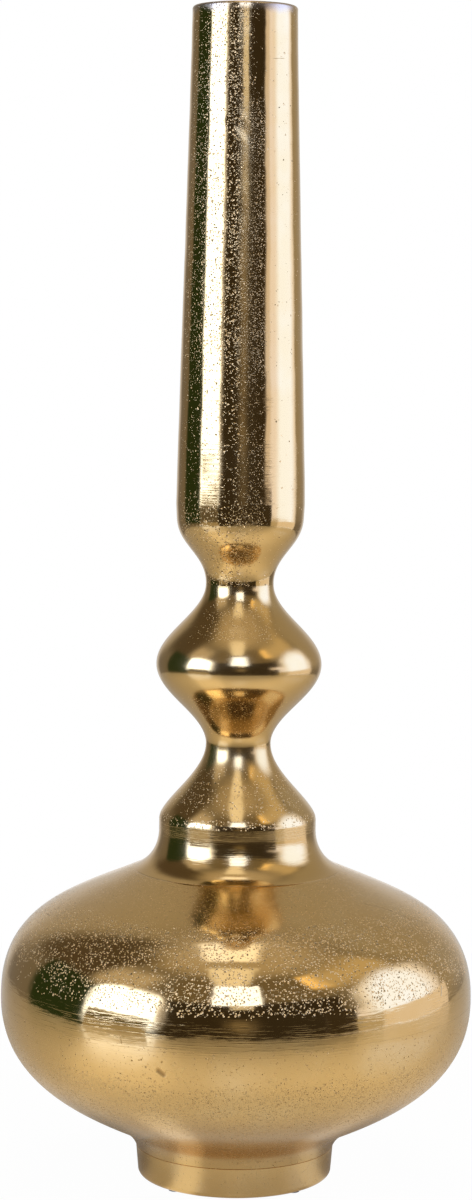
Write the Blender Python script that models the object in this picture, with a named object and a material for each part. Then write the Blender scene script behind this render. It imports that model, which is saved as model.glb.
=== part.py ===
"""Tall turned bottle vase, built up from separate castings that sit one on another.

Bottom to top: felt pads, foot ring, lower and upper belly shells, collar, knop and neck tube.
The knop is the round swelling between the two narrow waists. The two shells register on a
tongue, the collar screws into the belly's mouth on a spigot, and a hollow threaded nipple holds
each waist together. Every piece is modelled in its own frame, standing on z = 0, and is then
lifted to its seat in the stack.
"""

import math

import bmesh
import bpy
from mathutils import Vector

# All lengths are in metres and all angles in degrees. A radius is measured from the vase's axis.
# A fullness is the share of its chord that a curve runs on before it turns.

# Fits and facets that every joint shares
SIDES = 48
SEAT_GAP = 0.0003
THREAD_GAP = 0.0003
SHARP_ANGLE = 40

# Felt pads under the foot
PAD_COUNT = 4
PAD_SIDES = 16
PAD_RADIUS = 0.004
PAD_THICKNESS = 0.0012
PAD_CHAMFER = 0.0003

# Foot ring
FOOT_HEIGHT = 0.0165
FOOT_RADIUS = 0.0527
FOOT_TAPER = 0.0011
FOOT_EDGE_ROUND = 0.003
FOOT_TOP_CHAMFER = 0.0004
FOOT_WALL = 0.0064
FOOT_LEDGE_WIDTH = 0.0083
FOOT_LEDGE_HEIGHT = 0.006

# Lower belly shell
BOWL_HEIGHT = 0.0805
BELLY_RADIUS = 0.125
BELLY_WALL = 0.004
BOWL_FULLNESS = 0.40
COVE_TOP_RADIUS = 0.072
COVE_TOP_HEIGHT = 0.0158
COVE_TOP_ANGLE = 26
COVE_FOOT_ANGLE = 68
COVE_FULLNESS = 0.35
COVE_OVERHANG = 0.0003
BOWL_FLOOR_HEIGHT = 0.0075
BOWL_SPIGOT_WALL = 0.005
TONGUE_HEIGHT = 0.006
TONGUE_WALL = 0.0025
TONGUE_STEP = 0.0003

# Upper belly shell
SHOULDER_HEIGHT = 0.068
SHOULDER_SEAT_RADIUS = 0.0547
SHOULDER_SEAT_ANGLE = -24.8
SHOULDER_SEAT_FULLNESS = 0.42
SHOULDER_BELLY_FULLNESS = 0.46
BOSS_DEPTH = 0.016
BOSS_WALL = 0.007

# Collar
COLLAR_HEIGHT = 0.0662
COLLAR_RADIUS = 0.0416
COLLAR_WALL = 0.0045
COLLAR_BREAK_HEIGHT = 0.0285
COLLAR_BREAK_ANGLE = -68
COLLAR_BREAK_FULLNESS = 0.25
COLLAR_BREAK_CHAMFER = 0.0004
COLLAR_BREAK_DROP = 0.002
COLLAR_WAIST_FULLNESS = 0.32
COLLAR_CYLINDER = 0.0055
COLLAR_FILLET_FULLNESS = 0.38
COLLAR_FLOOR_HEIGHT = 0.004
COLLAR_RAMP_HEIGHT = 0.007
FLANGE_INSET = 0.0002
FLANGE_EDGE = 0.0008
FLANGE_ANGLE = -25
SPIGOT_RADIUS = 0.0355
SPIGOT_WALL = 0.0045
SPIGOT_LENGTH = 0.012

# Knop, whose waists are also those of the collar and the neck tube
KNOP_HEIGHT = 0.0847
KNOP_RADIUS = 0.0437
KNOP_WALL = 0.0048
KNOP_WAIST_FULLNESS = 0.31
KNOP_BELLY_FULLNESS = 0.325
LOWER_WAIST_RADIUS = 0.0171
UPPER_WAIST_RADIUS = 0.0178

# Neck tube
NECK_HEIGHT = 0.299
NECK_RADIUS = 0.034
NECK_MOUTH_RADIUS = 0.0275
NECK_WALL = 0.0036
NECK_TAPER_ANGLE = -88.8
NECK_TAPER_FULLNESS = 0.32
NECK_SHOULDER_HEIGHT = 0.0346
NECK_SHOULDER_INSET = 0.0004
NECK_SHOULDER_ANGLE = -93
NECK_SHOULDER_FULLNESS = 0.405
NECK_SWELL_HEIGHT = 0.0075
RIM_HEIGHT = 0.0045
RIM_ROUND = 0.0017

# Hollow threaded nipples in the two waists
NIPPLE_SIDES = 24
NIPPLE_RADIUS = 0.012
NIPPLE_WALL = 0.003
NIPPLE_LENGTH = 0.030
NIPPLE_CHAMFER = 0.0008

# Cored insides of the castings
CORE_FULLNESS = 0.3
CORE_FLOOR_ANGLE = 20
CORE_SLOPE_ANGLE = 30

# Finishes: linear colours, with a roughness for each piece below
GOLD_PLATE = (0.62, 0.40, 0.15)
BRASS = (0.62, 0.44, 0.17)
FELT = (0.05, 0.045, 0.04)

# Heights of the faces where one piece sits on the next
FOOT_BASE = PAD_THICKNESS + SEAT_GAP
BOWL_BASE = FOOT_BASE + FOOT_HEIGHT
SHOULDER_BASE = BOWL_BASE + BOWL_HEIGHT
COLLAR_BASE = SHOULDER_BASE + SHOULDER_HEIGHT
KNOP_BASE = COLLAR_BASE + COLLAR_HEIGHT
NECK_BASE = KNOP_BASE + KNOP_HEIGHT

# Fits between the foot ring and the bowl's spigot
FOOT_BASE_RADIUS = FOOT_RADIUS - FOOT_TAPER
FOOT_SEAT_RADIUS = FOOT_RADIUS - FOOT_WALL
FOOT_BORE_RADIUS = FOOT_SEAT_RADIUS - FOOT_LEDGE_WIDTH
BOWL_SPIGOT_RADIUS = FOOT_SEAT_RADIUS - SEAT_GAP

# Fits between the two belly shells
REGISTER_RADIUS = BELLY_RADIUS - BELLY_WALL - TONGUE_STEP
REGISTER_DEPTH = TONGUE_HEIGHT + 2 * SEAT_GAP
TONGUE_RADIUS = REGISTER_RADIUS - SEAT_GAP

# Threaded fits of the collar and the nipples
MOUTH_RADIUS = SPIGOT_RADIUS + THREAD_GAP
SOCKET_RADIUS = NIPPLE_RADIUS + THREAD_GAP
SOCKET_DEPTH = NIPPLE_LENGTH / 2 + SEAT_GAP


def point(radius, height):
    return Vector((radius, height))


def heading(angle):
    """Unit vector in the plane of a profile: 0 points outwards and 90 upwards."""
    return Vector((math.cos(math.radians(angle)), math.sin(math.radians(angle))))


def sweep(start, start_angle, start_fullness, end, end_angle, end_fullness, steps):
    """A cubic from start to end that leaves and arrives at the given angles."""
    chord = (end - start).length
    leave = start + heading(start_angle) * chord * start_fullness
    arrive = end - heading(end_angle) * chord * end_fullness
    found = []
    for step in range(steps + 1):
        t = step / steps
        s = 1 - t
        found.append(
            start * s**3 + leave * 3 * s * s * t + arrive * 3 * s * t * t + end * t**3
        )
    return found


def arc(centre, radius, start_angle, end_angle, steps):
    span = end_angle - start_angle
    return [
        centre + heading(start_angle + span * step / steps) * radius
        for step in range(steps + 1)
    ]


def inside_of(profile, wall):
    """The inner face of a wall whose outside runs down the profile, run upwards."""
    found = []
    for index, here in enumerate(profile):
        before = profile[max(index - 1, 0)]
        after = profile[min(index + 1, len(profile) - 1)]
        along = (after - before).normalized()
        found.append(here + Vector((along.y, -along.x)) * wall)
    return found[::-1]


def finish(name, colour, roughness, metallic):
    made = bpy.data.materials.new(name)
    made.use_nodes = True
    shader = made.node_tree.nodes["Principled BSDF"]
    shader.inputs["Base Color"].default_value = (*colour, 1)
    shader.inputs["Roughness"].default_value = roughness
    shader.inputs["Metallic"].default_value = metallic
    return made


def turned(name, profile, base, stack, colour, roughness, metallic=1, sides=SIDES):
    """Spins a profile about the axis and stands the piece at its height in the stack.

    A profile that starts on the axis also ends there. Any other one is a closed loop.
    """
    shape = bmesh.new()
    corners = [shape.verts.new((p.x, 0, p.y)) for p in profile]
    following = corners[1:] + corners[:1] if profile[0].x else corners[1:]
    edges = [shape.edges.new(pair) for pair in zip(corners, following)]
    bmesh.ops.spin(
        shape,
        geom=corners + edges,
        cent=(0, 0, 0),
        axis=(0, 0, 1),
        angle=2 * math.pi,
        steps=sides,
        use_merge=True,
    )
    bmesh.ops.remove_doubles(shape, verts=shape.verts, dist=0.000001)
    bmesh.ops.recalc_face_normals(shape, faces=shape.faces)
    mesh = bpy.data.meshes.new(name)
    shape.to_mesh(mesh)
    shape.free()
    mesh.shade_smooth()
    mesh.set_sharp_from_angle(angle=math.radians(SHARP_ANGLE))
    mesh.materials.append(finish(f"{name}_finish", colour, roughness, metallic))
    piece = bpy.data.objects.new(name, mesh)
    bpy.context.scene.collection.objects.link(piece)
    piece.parent = stack
    piece.location.z = base
    return piece


def pad_profile():
    return [
        point(0, PAD_THICKNESS),
        point(PAD_RADIUS - PAD_CHAMFER, PAD_THICKNESS),
        point(PAD_RADIUS, PAD_THICKNESS - PAD_CHAMFER),
        point(PAD_RADIUS, 0),
        point(0, 0),
    ]


def add_pads(stack):
    """Felt pads, spaced evenly on the flat of the foot ring's underside."""
    pitch_radius = (FOOT_BORE_RADIUS + FOOT_BASE_RADIUS - FOOT_EDGE_ROUND) / 2
    for index in range(PAD_COUNT):
        angle = 2 * math.pi * (index + 0.5) / PAD_COUNT
        name = f"foot_pad_{index + 1}"
        pad = turned(name, pad_profile(), 0, stack, FELT, 0.95, 0, PAD_SIDES)
        pad.location.x = pitch_radius * math.cos(angle)
        pad.location.y = pitch_radius * math.sin(angle)


def foot_profile():
    """Ring with a ledge in its bore, on which the bowl's spigot sits."""
    edge_centre = point(FOOT_BASE_RADIUS - FOOT_EDGE_ROUND, FOOT_EDGE_ROUND)
    return [
        point(FOOT_RADIUS - FOOT_TOP_CHAMFER, FOOT_HEIGHT),
        point(FOOT_RADIUS, FOOT_HEIGHT - FOOT_TOP_CHAMFER),
        *arc(edge_centre, FOOT_EDGE_ROUND, 0, -90, 3),
        point(FOOT_BORE_RADIUS, 0),
        point(FOOT_BORE_RADIUS, FOOT_LEDGE_HEIGHT),
        point(FOOT_SEAT_RADIUS, FOOT_LEDGE_HEIGHT),
        point(FOOT_SEAT_RADIUS, FOOT_HEIGHT),
    ]


def bowl_outside(steps):
    """From the belly's widest ring down to the top of the cove."""
    return sweep(
        point(BELLY_RADIUS, BOWL_HEIGHT),
        -90,
        BOWL_FULLNESS,
        point(COVE_TOP_RADIUS, COVE_TOP_HEIGHT),
        180 + COVE_TOP_ANGLE,
        BOWL_FULLNESS,
        steps,
    )


def cove(steps):
    """Hollow sweep from the bowl in to the foot ring."""
    return sweep(
        point(COVE_TOP_RADIUS, COVE_TOP_HEIGHT),
        180 + COVE_TOP_ANGLE,
        COVE_FULLNESS,
        point(FOOT_RADIUS + COVE_OVERHANG, SEAT_GAP),
        180 + COVE_FOOT_ANGLE,
        COVE_FULLNESS,
        steps,
    )


def bowl_profile():
    """Dish with a tongue round its brim and a spigot below, which sits in the foot ring."""
    tongue_inner = TONGUE_RADIUS - TONGUE_WALL
    inside = [p for p in inside_of(bowl_outside(7), BELLY_WALL) if p.x < tongue_inner]
    floor = sweep(
        point(0, BOWL_FLOOR_HEIGHT),
        0,
        CORE_FULLNESS,
        inside[0],
        COVE_TOP_ANGLE,
        CORE_FULLNESS,
        4,
    )
    spigot_inner = BOWL_SPIGOT_RADIUS - BOWL_SPIGOT_WALL
    spigot_end = FOOT_LEDGE_HEIGHT + SEAT_GAP - FOOT_HEIGHT
    underside = [p - point(0, BELLY_WALL) for p in floor if p.x < spigot_inner - BELLY_WALL]
    return [
        *floor,
        *inside[1:],
        point(tongue_inner, BOWL_HEIGHT - TONGUE_HEIGHT),
        point(tongue_inner, BOWL_HEIGHT + TONGUE_HEIGHT),
        point(TONGUE_RADIUS, BOWL_HEIGHT + TONGUE_HEIGHT),
        point(TONGUE_RADIUS, BOWL_HEIGHT),
        *bowl_outside(9),
        *cove(4)[1:],
        point(BOWL_SPIGOT_RADIUS, SEAT_GAP),
        point(BOWL_SPIGOT_RADIUS, spigot_end),
        point(spigot_inner, spigot_end),
        point(spigot_inner, underside[-1].y - BELLY_WALL / 2),
        *underside[::-1],
    ]


def shoulder_outside(steps):
    """From the collar's seat down to the belly's widest ring."""
    return sweep(
        point(SHOULDER_SEAT_RADIUS, SHOULDER_HEIGHT),
        SHOULDER_SEAT_ANGLE,
        SHOULDER_SEAT_FULLNESS,
        point(BELLY_RADIUS, SEAT_GAP),
        -90,
        SHOULDER_BELLY_FULLNESS,
        steps,
    )


def shoulder_profile():
    """Upper half of the belly, with the flat seat and the threaded boss that take the collar."""
    boss_radius = MOUTH_RADIUS + BOSS_WALL
    inside = [
        p
        for p in inside_of(shoulder_outside(8), BELLY_WALL)
        if p.y > REGISTER_DEPTH and p.x > boss_radius + BELLY_WALL
    ]
    return [
        point(MOUTH_RADIUS, SHOULDER_HEIGHT),
        *shoulder_outside(9),
        point(REGISTER_RADIUS, SEAT_GAP),
        point(REGISTER_RADIUS, REGISTER_DEPTH),
        *inside,
        point(boss_radius, SHOULDER_HEIGHT - BELLY_WALL),
        point(boss_radius, SHOULDER_HEIGHT - BOSS_DEPTH),
        point(MOUTH_RADIUS, SHOULDER_HEIGHT - BOSS_DEPTH),
    ]


def collar_profile():
    """Waist, ogee slope, short cylinder and flared flange, with a threaded spigot below."""
    ogee = sweep(
        point(LOWER_WAIST_RADIUS, COLLAR_HEIGHT),
        -90,
        COLLAR_WAIST_FULLNESS,
        point(COLLAR_RADIUS - COLLAR_BREAK_CHAMFER, COLLAR_BREAK_HEIGHT),
        COLLAR_BREAK_ANGLE,
        COLLAR_BREAK_FULLNESS,
        7,
    )
    cylinder_top = COLLAR_BREAK_HEIGHT - COLLAR_BREAK_DROP
    fillet = sweep(
        point(COLLAR_RADIUS, cylinder_top - COLLAR_CYLINDER),
        -90,
        COLLAR_FILLET_FULLNESS,
        point(SHOULDER_SEAT_RADIUS - FLANGE_INSET, FLANGE_EDGE),
        FLANGE_ANGLE,
        COLLAR_FILLET_FULLNESS,
        5,
    )
    spigot_inner = SPIGOT_RADIUS - SPIGOT_WALL
    core_radius = COLLAR_RADIUS - COLLAR_WALL
    core = sweep(
        point(core_radius, COLLAR_BREAK_HEIGHT - COLLAR_WALL),
        90,
        CORE_FULLNESS,
        point(SOCKET_RADIUS, COLLAR_HEIGHT - SOCKET_DEPTH),
        180 - CORE_SLOPE_ANGLE,
        CORE_FULLNESS,
        3,
    )
    return [
        *ogee,
        point(COLLAR_RADIUS, cylinder_top),
        *fillet,
        point(SHOULDER_SEAT_RADIUS - FLANGE_INSET, SEAT_GAP),
        point(SPIGOT_RADIUS, SEAT_GAP),
        point(SPIGOT_RADIUS, -SPIGOT_LENGTH),
        point(spigot_inner, -SPIGOT_LENGTH),
        point(spigot_inner, COLLAR_FLOOR_HEIGHT),
        point(core_radius, COLLAR_FLOOR_HEIGHT + COLLAR_RAMP_HEIGHT),
        *core,
        point(SOCKET_RADIUS, COLLAR_HEIGHT),
    ]


def knop_profile():
    """Round knop between two waists, hollow inside, with a nipple socket at each end."""
    middle = KNOP_HEIGHT / 2
    widest = point(KNOP_RADIUS, middle)
    upper = sweep(
        point(UPPER_WAIST_RADIUS, KNOP_HEIGHT),
        -90,
        KNOP_WAIST_FULLNESS,
        widest,
        -90,
        KNOP_BELLY_FULLNESS,
        7,
    )
    lower = sweep(
        widest,
        -90,
        KNOP_BELLY_FULLNESS,
        point(LOWER_WAIST_RADIUS, SEAT_GAP),
        -90,
        KNOP_WAIST_FULLNESS,
        7,
    )
    core_widest = point(KNOP_RADIUS - KNOP_WALL, middle)
    core_foot = point(SOCKET_RADIUS, SOCKET_DEPTH)
    core_top = point(SOCKET_RADIUS, KNOP_HEIGHT - SOCKET_DEPTH)
    slope_in = 180 - CORE_SLOPE_ANGLE
    return [
        *upper,
        *lower[1:],
        point(SOCKET_RADIUS, SEAT_GAP),
        *sweep(core_foot, CORE_SLOPE_ANGLE, CORE_FULLNESS, core_widest, 90, CORE_FULLNESS, 3),
        *sweep(core_widest, 90, CORE_FULLNESS, core_top, slope_in, CORE_FULLNESS, 3)[1:],
        point(SOCKET_RADIUS, KNOP_HEIGHT),
    ]


def neck_taper(steps):
    """Outside of the long tube, from below the rim down to its widest ring."""
    return sweep(
        point(NECK_MOUTH_RADIUS, NECK_HEIGHT - RIM_HEIGHT),
        NECK_TAPER_ANGLE,
        NECK_TAPER_FULLNESS,
        point(NECK_RADIUS, NECK_SHOULDER_HEIGHT + NECK_SWELL_HEIGHT),
        NECK_TAPER_ANGLE,
        NECK_TAPER_FULLNESS,
        steps,
    )


def neck_profile():
    """Long tube with a rounded lip, drawn in at the bottom to the upper waist."""
    lip_outer = point(NECK_MOUTH_RADIUS - RIM_ROUND, NECK_HEIGHT - RIM_ROUND)
    lip_inner = point(NECK_MOUTH_RADIUS - NECK_WALL + RIM_ROUND, NECK_HEIGHT - RIM_ROUND)
    shoulder = sweep(
        point(NECK_RADIUS - NECK_SHOULDER_INSET, NECK_SHOULDER_HEIGHT),
        NECK_SHOULDER_ANGLE,
        NECK_SHOULDER_FULLNESS,
        point(UPPER_WAIST_RADIUS, SEAT_GAP),
        -90,
        NECK_SHOULDER_FULLNESS,
        7,
    )
    inside = inside_of(neck_taper(4), NECK_WALL)
    floor = sweep(
        point(SOCKET_RADIUS, SOCKET_DEPTH),
        CORE_FLOOR_ANGLE,
        CORE_FULLNESS,
        inside[0],
        90,
        CORE_FULLNESS,
        4,
    )
    return [
        *arc(lip_inner, RIM_ROUND, 180, 90, 2),
        *arc(lip_outer, RIM_ROUND, 90, 0, 2),
        *neck_taper(6),
        *shoulder,
        point(SOCKET_RADIUS, SEAT_GAP),
        *floor,
        *inside[1:],
    ]


def nipple_profile():
    """Hollow screw with chamfered ends, centred on the joint that it holds."""
    half = NIPPLE_LENGTH / 2
    bore = NIPPLE_RADIUS - NIPPLE_WALL
    return [
        point(bore, half),
        point(NIPPLE_RADIUS - NIPPLE_CHAMFER, half),
        point(NIPPLE_RADIUS, half - NIPPLE_CHAMFER),
        point(NIPPLE_RADIUS, NIPPLE_CHAMFER - half),
        point(NIPPLE_RADIUS - NIPPLE_CHAMFER, -half),
        point(bore, -half),
    ]


def add_nipple(name, base, stack):
    turned(name, nipple_profile(), base, stack, BRASS, 0.35, sides=NIPPLE_SIDES)


def main():
    for leftover in list(bpy.data.objects):
        bpy.data.objects.remove(leftover)
    stack = bpy.data.objects.new("vase", None)
    bpy.context.scene.collection.objects.link(stack)
    add_pads(stack)
    turned("foot_ring", foot_profile(), FOOT_BASE, stack, GOLD_PLATE, 0.22)
    turned("belly_lower", bowl_profile(), BOWL_BASE, stack, GOLD_PLATE, 0.30)
    turned("belly_upper", shoulder_profile(), SHOULDER_BASE, stack, GOLD_PLATE, 0.22)
    turned("collar", collar_profile(), COLLAR_BASE, stack, GOLD_PLATE, 0.18)
    add_nipple("collar_nipple", KNOP_BASE, stack)
    turned("knop", knop_profile(), KNOP_BASE, stack, GOLD_PLATE, 0.15)
    add_nipple("neck_nipple", NECK_BASE, stack)
    turned("neck_tube", neck_profile(), NECK_BASE, stack, GOLD_PLATE, 0.15)


main()
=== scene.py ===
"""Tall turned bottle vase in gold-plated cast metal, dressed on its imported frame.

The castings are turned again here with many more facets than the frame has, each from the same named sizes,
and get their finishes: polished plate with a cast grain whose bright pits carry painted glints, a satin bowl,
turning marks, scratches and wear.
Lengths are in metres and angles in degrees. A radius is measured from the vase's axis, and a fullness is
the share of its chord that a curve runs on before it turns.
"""

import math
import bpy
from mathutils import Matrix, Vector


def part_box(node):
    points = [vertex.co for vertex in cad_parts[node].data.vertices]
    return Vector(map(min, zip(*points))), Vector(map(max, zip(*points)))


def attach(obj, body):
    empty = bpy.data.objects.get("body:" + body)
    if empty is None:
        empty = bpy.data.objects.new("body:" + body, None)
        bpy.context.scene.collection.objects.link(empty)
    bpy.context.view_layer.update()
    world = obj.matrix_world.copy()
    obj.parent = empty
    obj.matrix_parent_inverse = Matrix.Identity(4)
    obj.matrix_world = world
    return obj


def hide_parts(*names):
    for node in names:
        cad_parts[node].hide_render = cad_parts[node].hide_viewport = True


bl_info = {
    "name": "Turned Bottle Vase",
    "version": (1, 0, 0),
    "blender": (4, 5, 0),
    "location": "3D View > Sidebar > Vase",
    "description": "Castings, finishes, camera and studio of a tall turned bottle vase",
    "category": "Object",
}

import bmesh
import bpy
from bpy.props import FloatProperty, FloatVectorProperty, IntProperty, PointerProperty
from mathutils import Matrix, Vector

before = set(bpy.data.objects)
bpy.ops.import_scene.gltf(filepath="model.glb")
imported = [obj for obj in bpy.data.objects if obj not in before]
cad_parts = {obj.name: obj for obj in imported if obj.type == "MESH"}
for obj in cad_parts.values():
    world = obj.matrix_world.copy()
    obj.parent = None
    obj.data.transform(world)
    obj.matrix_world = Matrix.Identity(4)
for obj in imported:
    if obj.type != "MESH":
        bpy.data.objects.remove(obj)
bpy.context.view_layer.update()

# Heights of the faces where one piece sits on the next, as the frame has them
FOOT_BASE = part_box("foot_ring")[0].z
BOWL_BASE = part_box("foot_ring")[1].z
COLLAR_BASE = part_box("belly_upper")[1].z
KNOP_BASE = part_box("collar")[1].z
NECK_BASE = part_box("knop")[1].z
RIM_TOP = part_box("neck_tube")[1].z

# Radius of the circle that the lathe turns about, and the distance within which points are welded
HUB = 0.001
WELD = 0.000002

# Reach from a thread's radius within which a point belongs to the thread
THREAD_NEAR = 0.00012

# Points along the straight or rounded parts of an outline
EDGE_STEPS = 12
LIP_STEPS = 8
CYLINDER_STEPS = 8
SPIGOT_STEPS = 56
NIPPLE_STEPS = 120

# Fullness of the curves inside a casting
CORE_FULLNESS = 0.3

# Height band of the tube's front: its foot, its top, its softness and how ragged its edge is
TUBE_BAND = (0.3, 0.575, 0.02, 0.02)

BODY = "root"


def length(name, description, default):
    return FloatProperty(
        name=name, description=description, default=default, min=0, unit="LENGTH", precision=5
    )


def turn(name, description, default):
    return FloatProperty(name=name, description=description, default=default, precision=2)


def share(name, description, default):
    return FloatProperty(name=name, description=description, default=default, min=0, max=1)


def amount(name, description, default):
    return FloatProperty(name=name, description=description, default=default, min=0)


def count(name, description, default, low, high):
    return IntProperty(name=name, description=description, default=default, min=low, max=high)


def tint(name, description, default):
    return FloatVectorProperty(
        name=name, description=description, default=default, subtype="COLOR", min=0, max=1
    )


class TurningSettings(bpy.types.PropertyGroup):
    """How finely the castings are turned, and how true the polisher left them."""

    sides: count("Sides", "Facets round each casting", 224, 24, 512)
    belly_sides: count("Belly sides", "Facets round the two belly shells", 288, 24, 512)
    nipple_sides: count("Nipple sides", "Facets round each nipple", 96, 24, 512)
    steps: count("Steps", "Facets along each curve of an outline", 44, 6, 120)
    sharp_angle: turn("Sharp angle", "Edges that turn by more than this stay crisp", 34)
    wave_height: length("Wave height", "How far hand polishing left a wall out of true", 0.00026)
    wave_size: length("Wave size", "Distance between two waves in a polished wall", 0.03)
    joint_line: length("Joint line", "Width of the hairline where two castings meet", 0.00004)


class FootSettings(bpy.types.PropertyGroup):
    """Sizes of the foot ring and its felt pads."""

    radius: length("Radius", "Outside of the ring at its crisp top edge", 0.0527)
    taper: length("Taper", "How much narrower the ring is at the floor", 0.0011)
    edge_round: length("Edge round", "Rounding of the lower outer edge", 0.003)
    top_chamfer: length("Top chamfer", "Break on the crisp top edge", 0.0004)
    wall: length("Wall", "Thickness of the ring round the bowl's spigot", 0.0064)
    ledge_width: length("Ledge width", "Width of the ledge that the spigot stands on", 0.0083)
    ledge_height: length("Ledge height", "Height of that ledge", 0.006)
    pad_radius: length("Pad radius", "Radius of each felt pad", 0.004)
    pad_round: length("Pad round", "Softness of a pad's cut edge", 0.00035)
    pad_fuzz: length("Pad fuzz", "How far the felt's fibres lift its face", 0.00006)
    pad_count: count("Pads", "Number of felt pads", 4, 3, 8)


class BowlSettings(bpy.types.PropertyGroup):
    """Sizes of the lower belly shell."""

    radius: length("Belly radius", "Radius of the belly's widest ring", 0.125)
    height: length("Height", "From the foot ring up to the widest ring", 0.0805)
    wall: length("Wall", "Thickness of the cast wall", 0.004)
    fullness: share("Fullness", "How full the bowl's curve is", 0.40)
    cove_top_radius: length("Cove top radius", "Where the bowl turns into the cove", 0.072)
    cove_top_height: length("Cove top height", "Height of that turn above the foot ring", 0.0158)
    cove_top_angle: turn("Cove top angle", "Slope of the wall at that turn", 26)
    cove_foot_angle: turn("Cove foot angle", "Slope of the cove at the foot ring", 68)
    cove_fullness: share("Cove fullness", "How deep the cove is", 0.35)
    cove_overhang: length("Cove overhang", "How far the cove stands over the ring's edge", 0.0003)
    floor_height: length("Floor height", "Inside floor above the foot ring", 0.0075)
    spigot_wall: length("Spigot wall", "Thickness of the spigot in the foot ring", 0.005)
    tongue_height: length("Tongue height", "Height of the tongue round the brim", 0.006)
    tongue_wall: length("Tongue wall", "Thickness of that tongue", 0.0025)


class ShoulderSettings(bpy.types.PropertyGroup):
    """Sizes of the upper belly shell."""

    seat_radius: length("Seat radius", "Edge of the flat seat under the collar", 0.0547)
    seat_angle: turn("Seat angle", "Slope of the shoulder at the seat", -24.8)
    seat_fullness: share("Seat fullness", "How far the shoulder stays straight at the seat", 0.42)
    belly_fullness: share("Belly fullness", "How full the shoulder is at the belly", 0.46)
    boss_depth: length("Boss depth", "Depth of the threaded boss", 0.016)
    boss_wall: length("Boss wall", "Thickness of that boss", 0.007)


class CollarSettings(bpy.types.PropertyGroup):
    """Sizes of the collar between the belly and the knop."""

    radius: length("Radius", "Radius of the collar's short cylinder", 0.0416)
    wall: length("Wall", "Thickness of the cast wall", 0.0045)
    waist_radius: length("Waist radius", "Radius of the lower waist", 0.0171)
    waist_fullness: share("Waist fullness", "How long the waist stays slim", 0.32)
    break_height: length("Break height", "Height of the crisp edge above the seat", 0.0285)
    break_angle: turn("Break angle", "Slope of the ogee at that edge", -68)
    break_fullness: share("Break fullness", "How full the ogee is above that edge", 0.25)
    break_chamfer: length("Break chamfer", "Wear on the crisp edge", 0.0004)
    break_drop: length("Break drop", "Height of the worn edge", 0.002)
    cylinder: length("Cylinder", "Straight part below the crisp edge", 0.0055)
    fillet_fullness: share("Fillet fullness", "How hollow the sweep to the flange is", 0.38)
    flange_inset: length("Flange inset", "How far the flange stands back from its seat", 0.0002)
    flange_edge: length("Flange edge", "Thickness of the flange's edge", 0.00012)
    flange_angle: turn("Flange angle", "Slope of the flange at its edge", -25)
    spigot_radius: length("Spigot radius", "Radius of the threaded spigot", 0.0355)
    spigot_wall: length("Spigot wall", "Thickness of the spigot", 0.0045)
    spigot_length: length("Spigot length", "Length of the spigot", 0.012)
    floor_height: length("Floor height", "Inside ledge above the seat", 0.004)
    ramp_height: length("Ramp height", "Slope from that ledge to the wall", 0.007)


class KnopSettings(bpy.types.PropertyGroup):
    """Sizes of the round knop between the two waists."""

    radius: length("Radius", "Radius of the knop's widest ring", 0.0437)
    wall: length("Wall", "Thickness of the cast wall", 0.0048)
    waist_fullness: share("Waist fullness", "How long each waist stays slim", 0.31)
    belly_fullness: share("Belly fullness", "How full the knop is", 0.325)


class NeckSettings(bpy.types.PropertyGroup):
    """Sizes of the long neck tube."""

    radius: length("Radius", "Radius of the tube at its widest", 0.034)
    mouth_radius: length("Mouth radius", "Outside radius at the rim", 0.0275)
    wall: length("Wall", "Thickness of the cast wall", 0.0036)
    taper_angle: turn("Taper angle", "Slope of the wall at both ends", -88.8)
    taper_fullness: share("Taper fullness", "How straight the taper is", 0.32)
    waist_radius: length("Waist radius", "Radius of the upper waist", 0.0178)
    shoulder_height: length("Shoulder height", "Height of the tube's round foot", 0.0346)
    shoulder_inset: length("Shoulder inset", "Narrowing where that foot starts", 0.0004)
    shoulder_angle: turn("Shoulder angle", "Slope where that foot starts", -93)
    shoulder_fullness: share("Shoulder fullness", "How full that foot is", 0.405)
    swell_height: length("Swell height", "From there up to the widest ring", 0.0075)
    rim_height: length("Rim height", "Height of the straight lip", 0.0045)
    rim_round: length("Rim round", "Rounding of the lip", 0.0017)


class NippleSettings(bpy.types.PropertyGroup):
    """Sizes of the threaded nipples in the waists and of the threads."""

    radius: length("Radius", "Outside radius of the thread", 0.012)
    wall: length("Wall", "Thickness of the tube", 0.003)
    long: length("Length", "Length of each nipple", 0.030)
    chamfer: length("Chamfer", "Chamfer on each end", 0.0008)
    play: length("Play", "Room round a thread", 0.0003)
    pitch: length("Pitch", "Rise of one turn of the thread", 0.0018)
    depth: length("Depth", "Depth of the thread", 0.0008)


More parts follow.
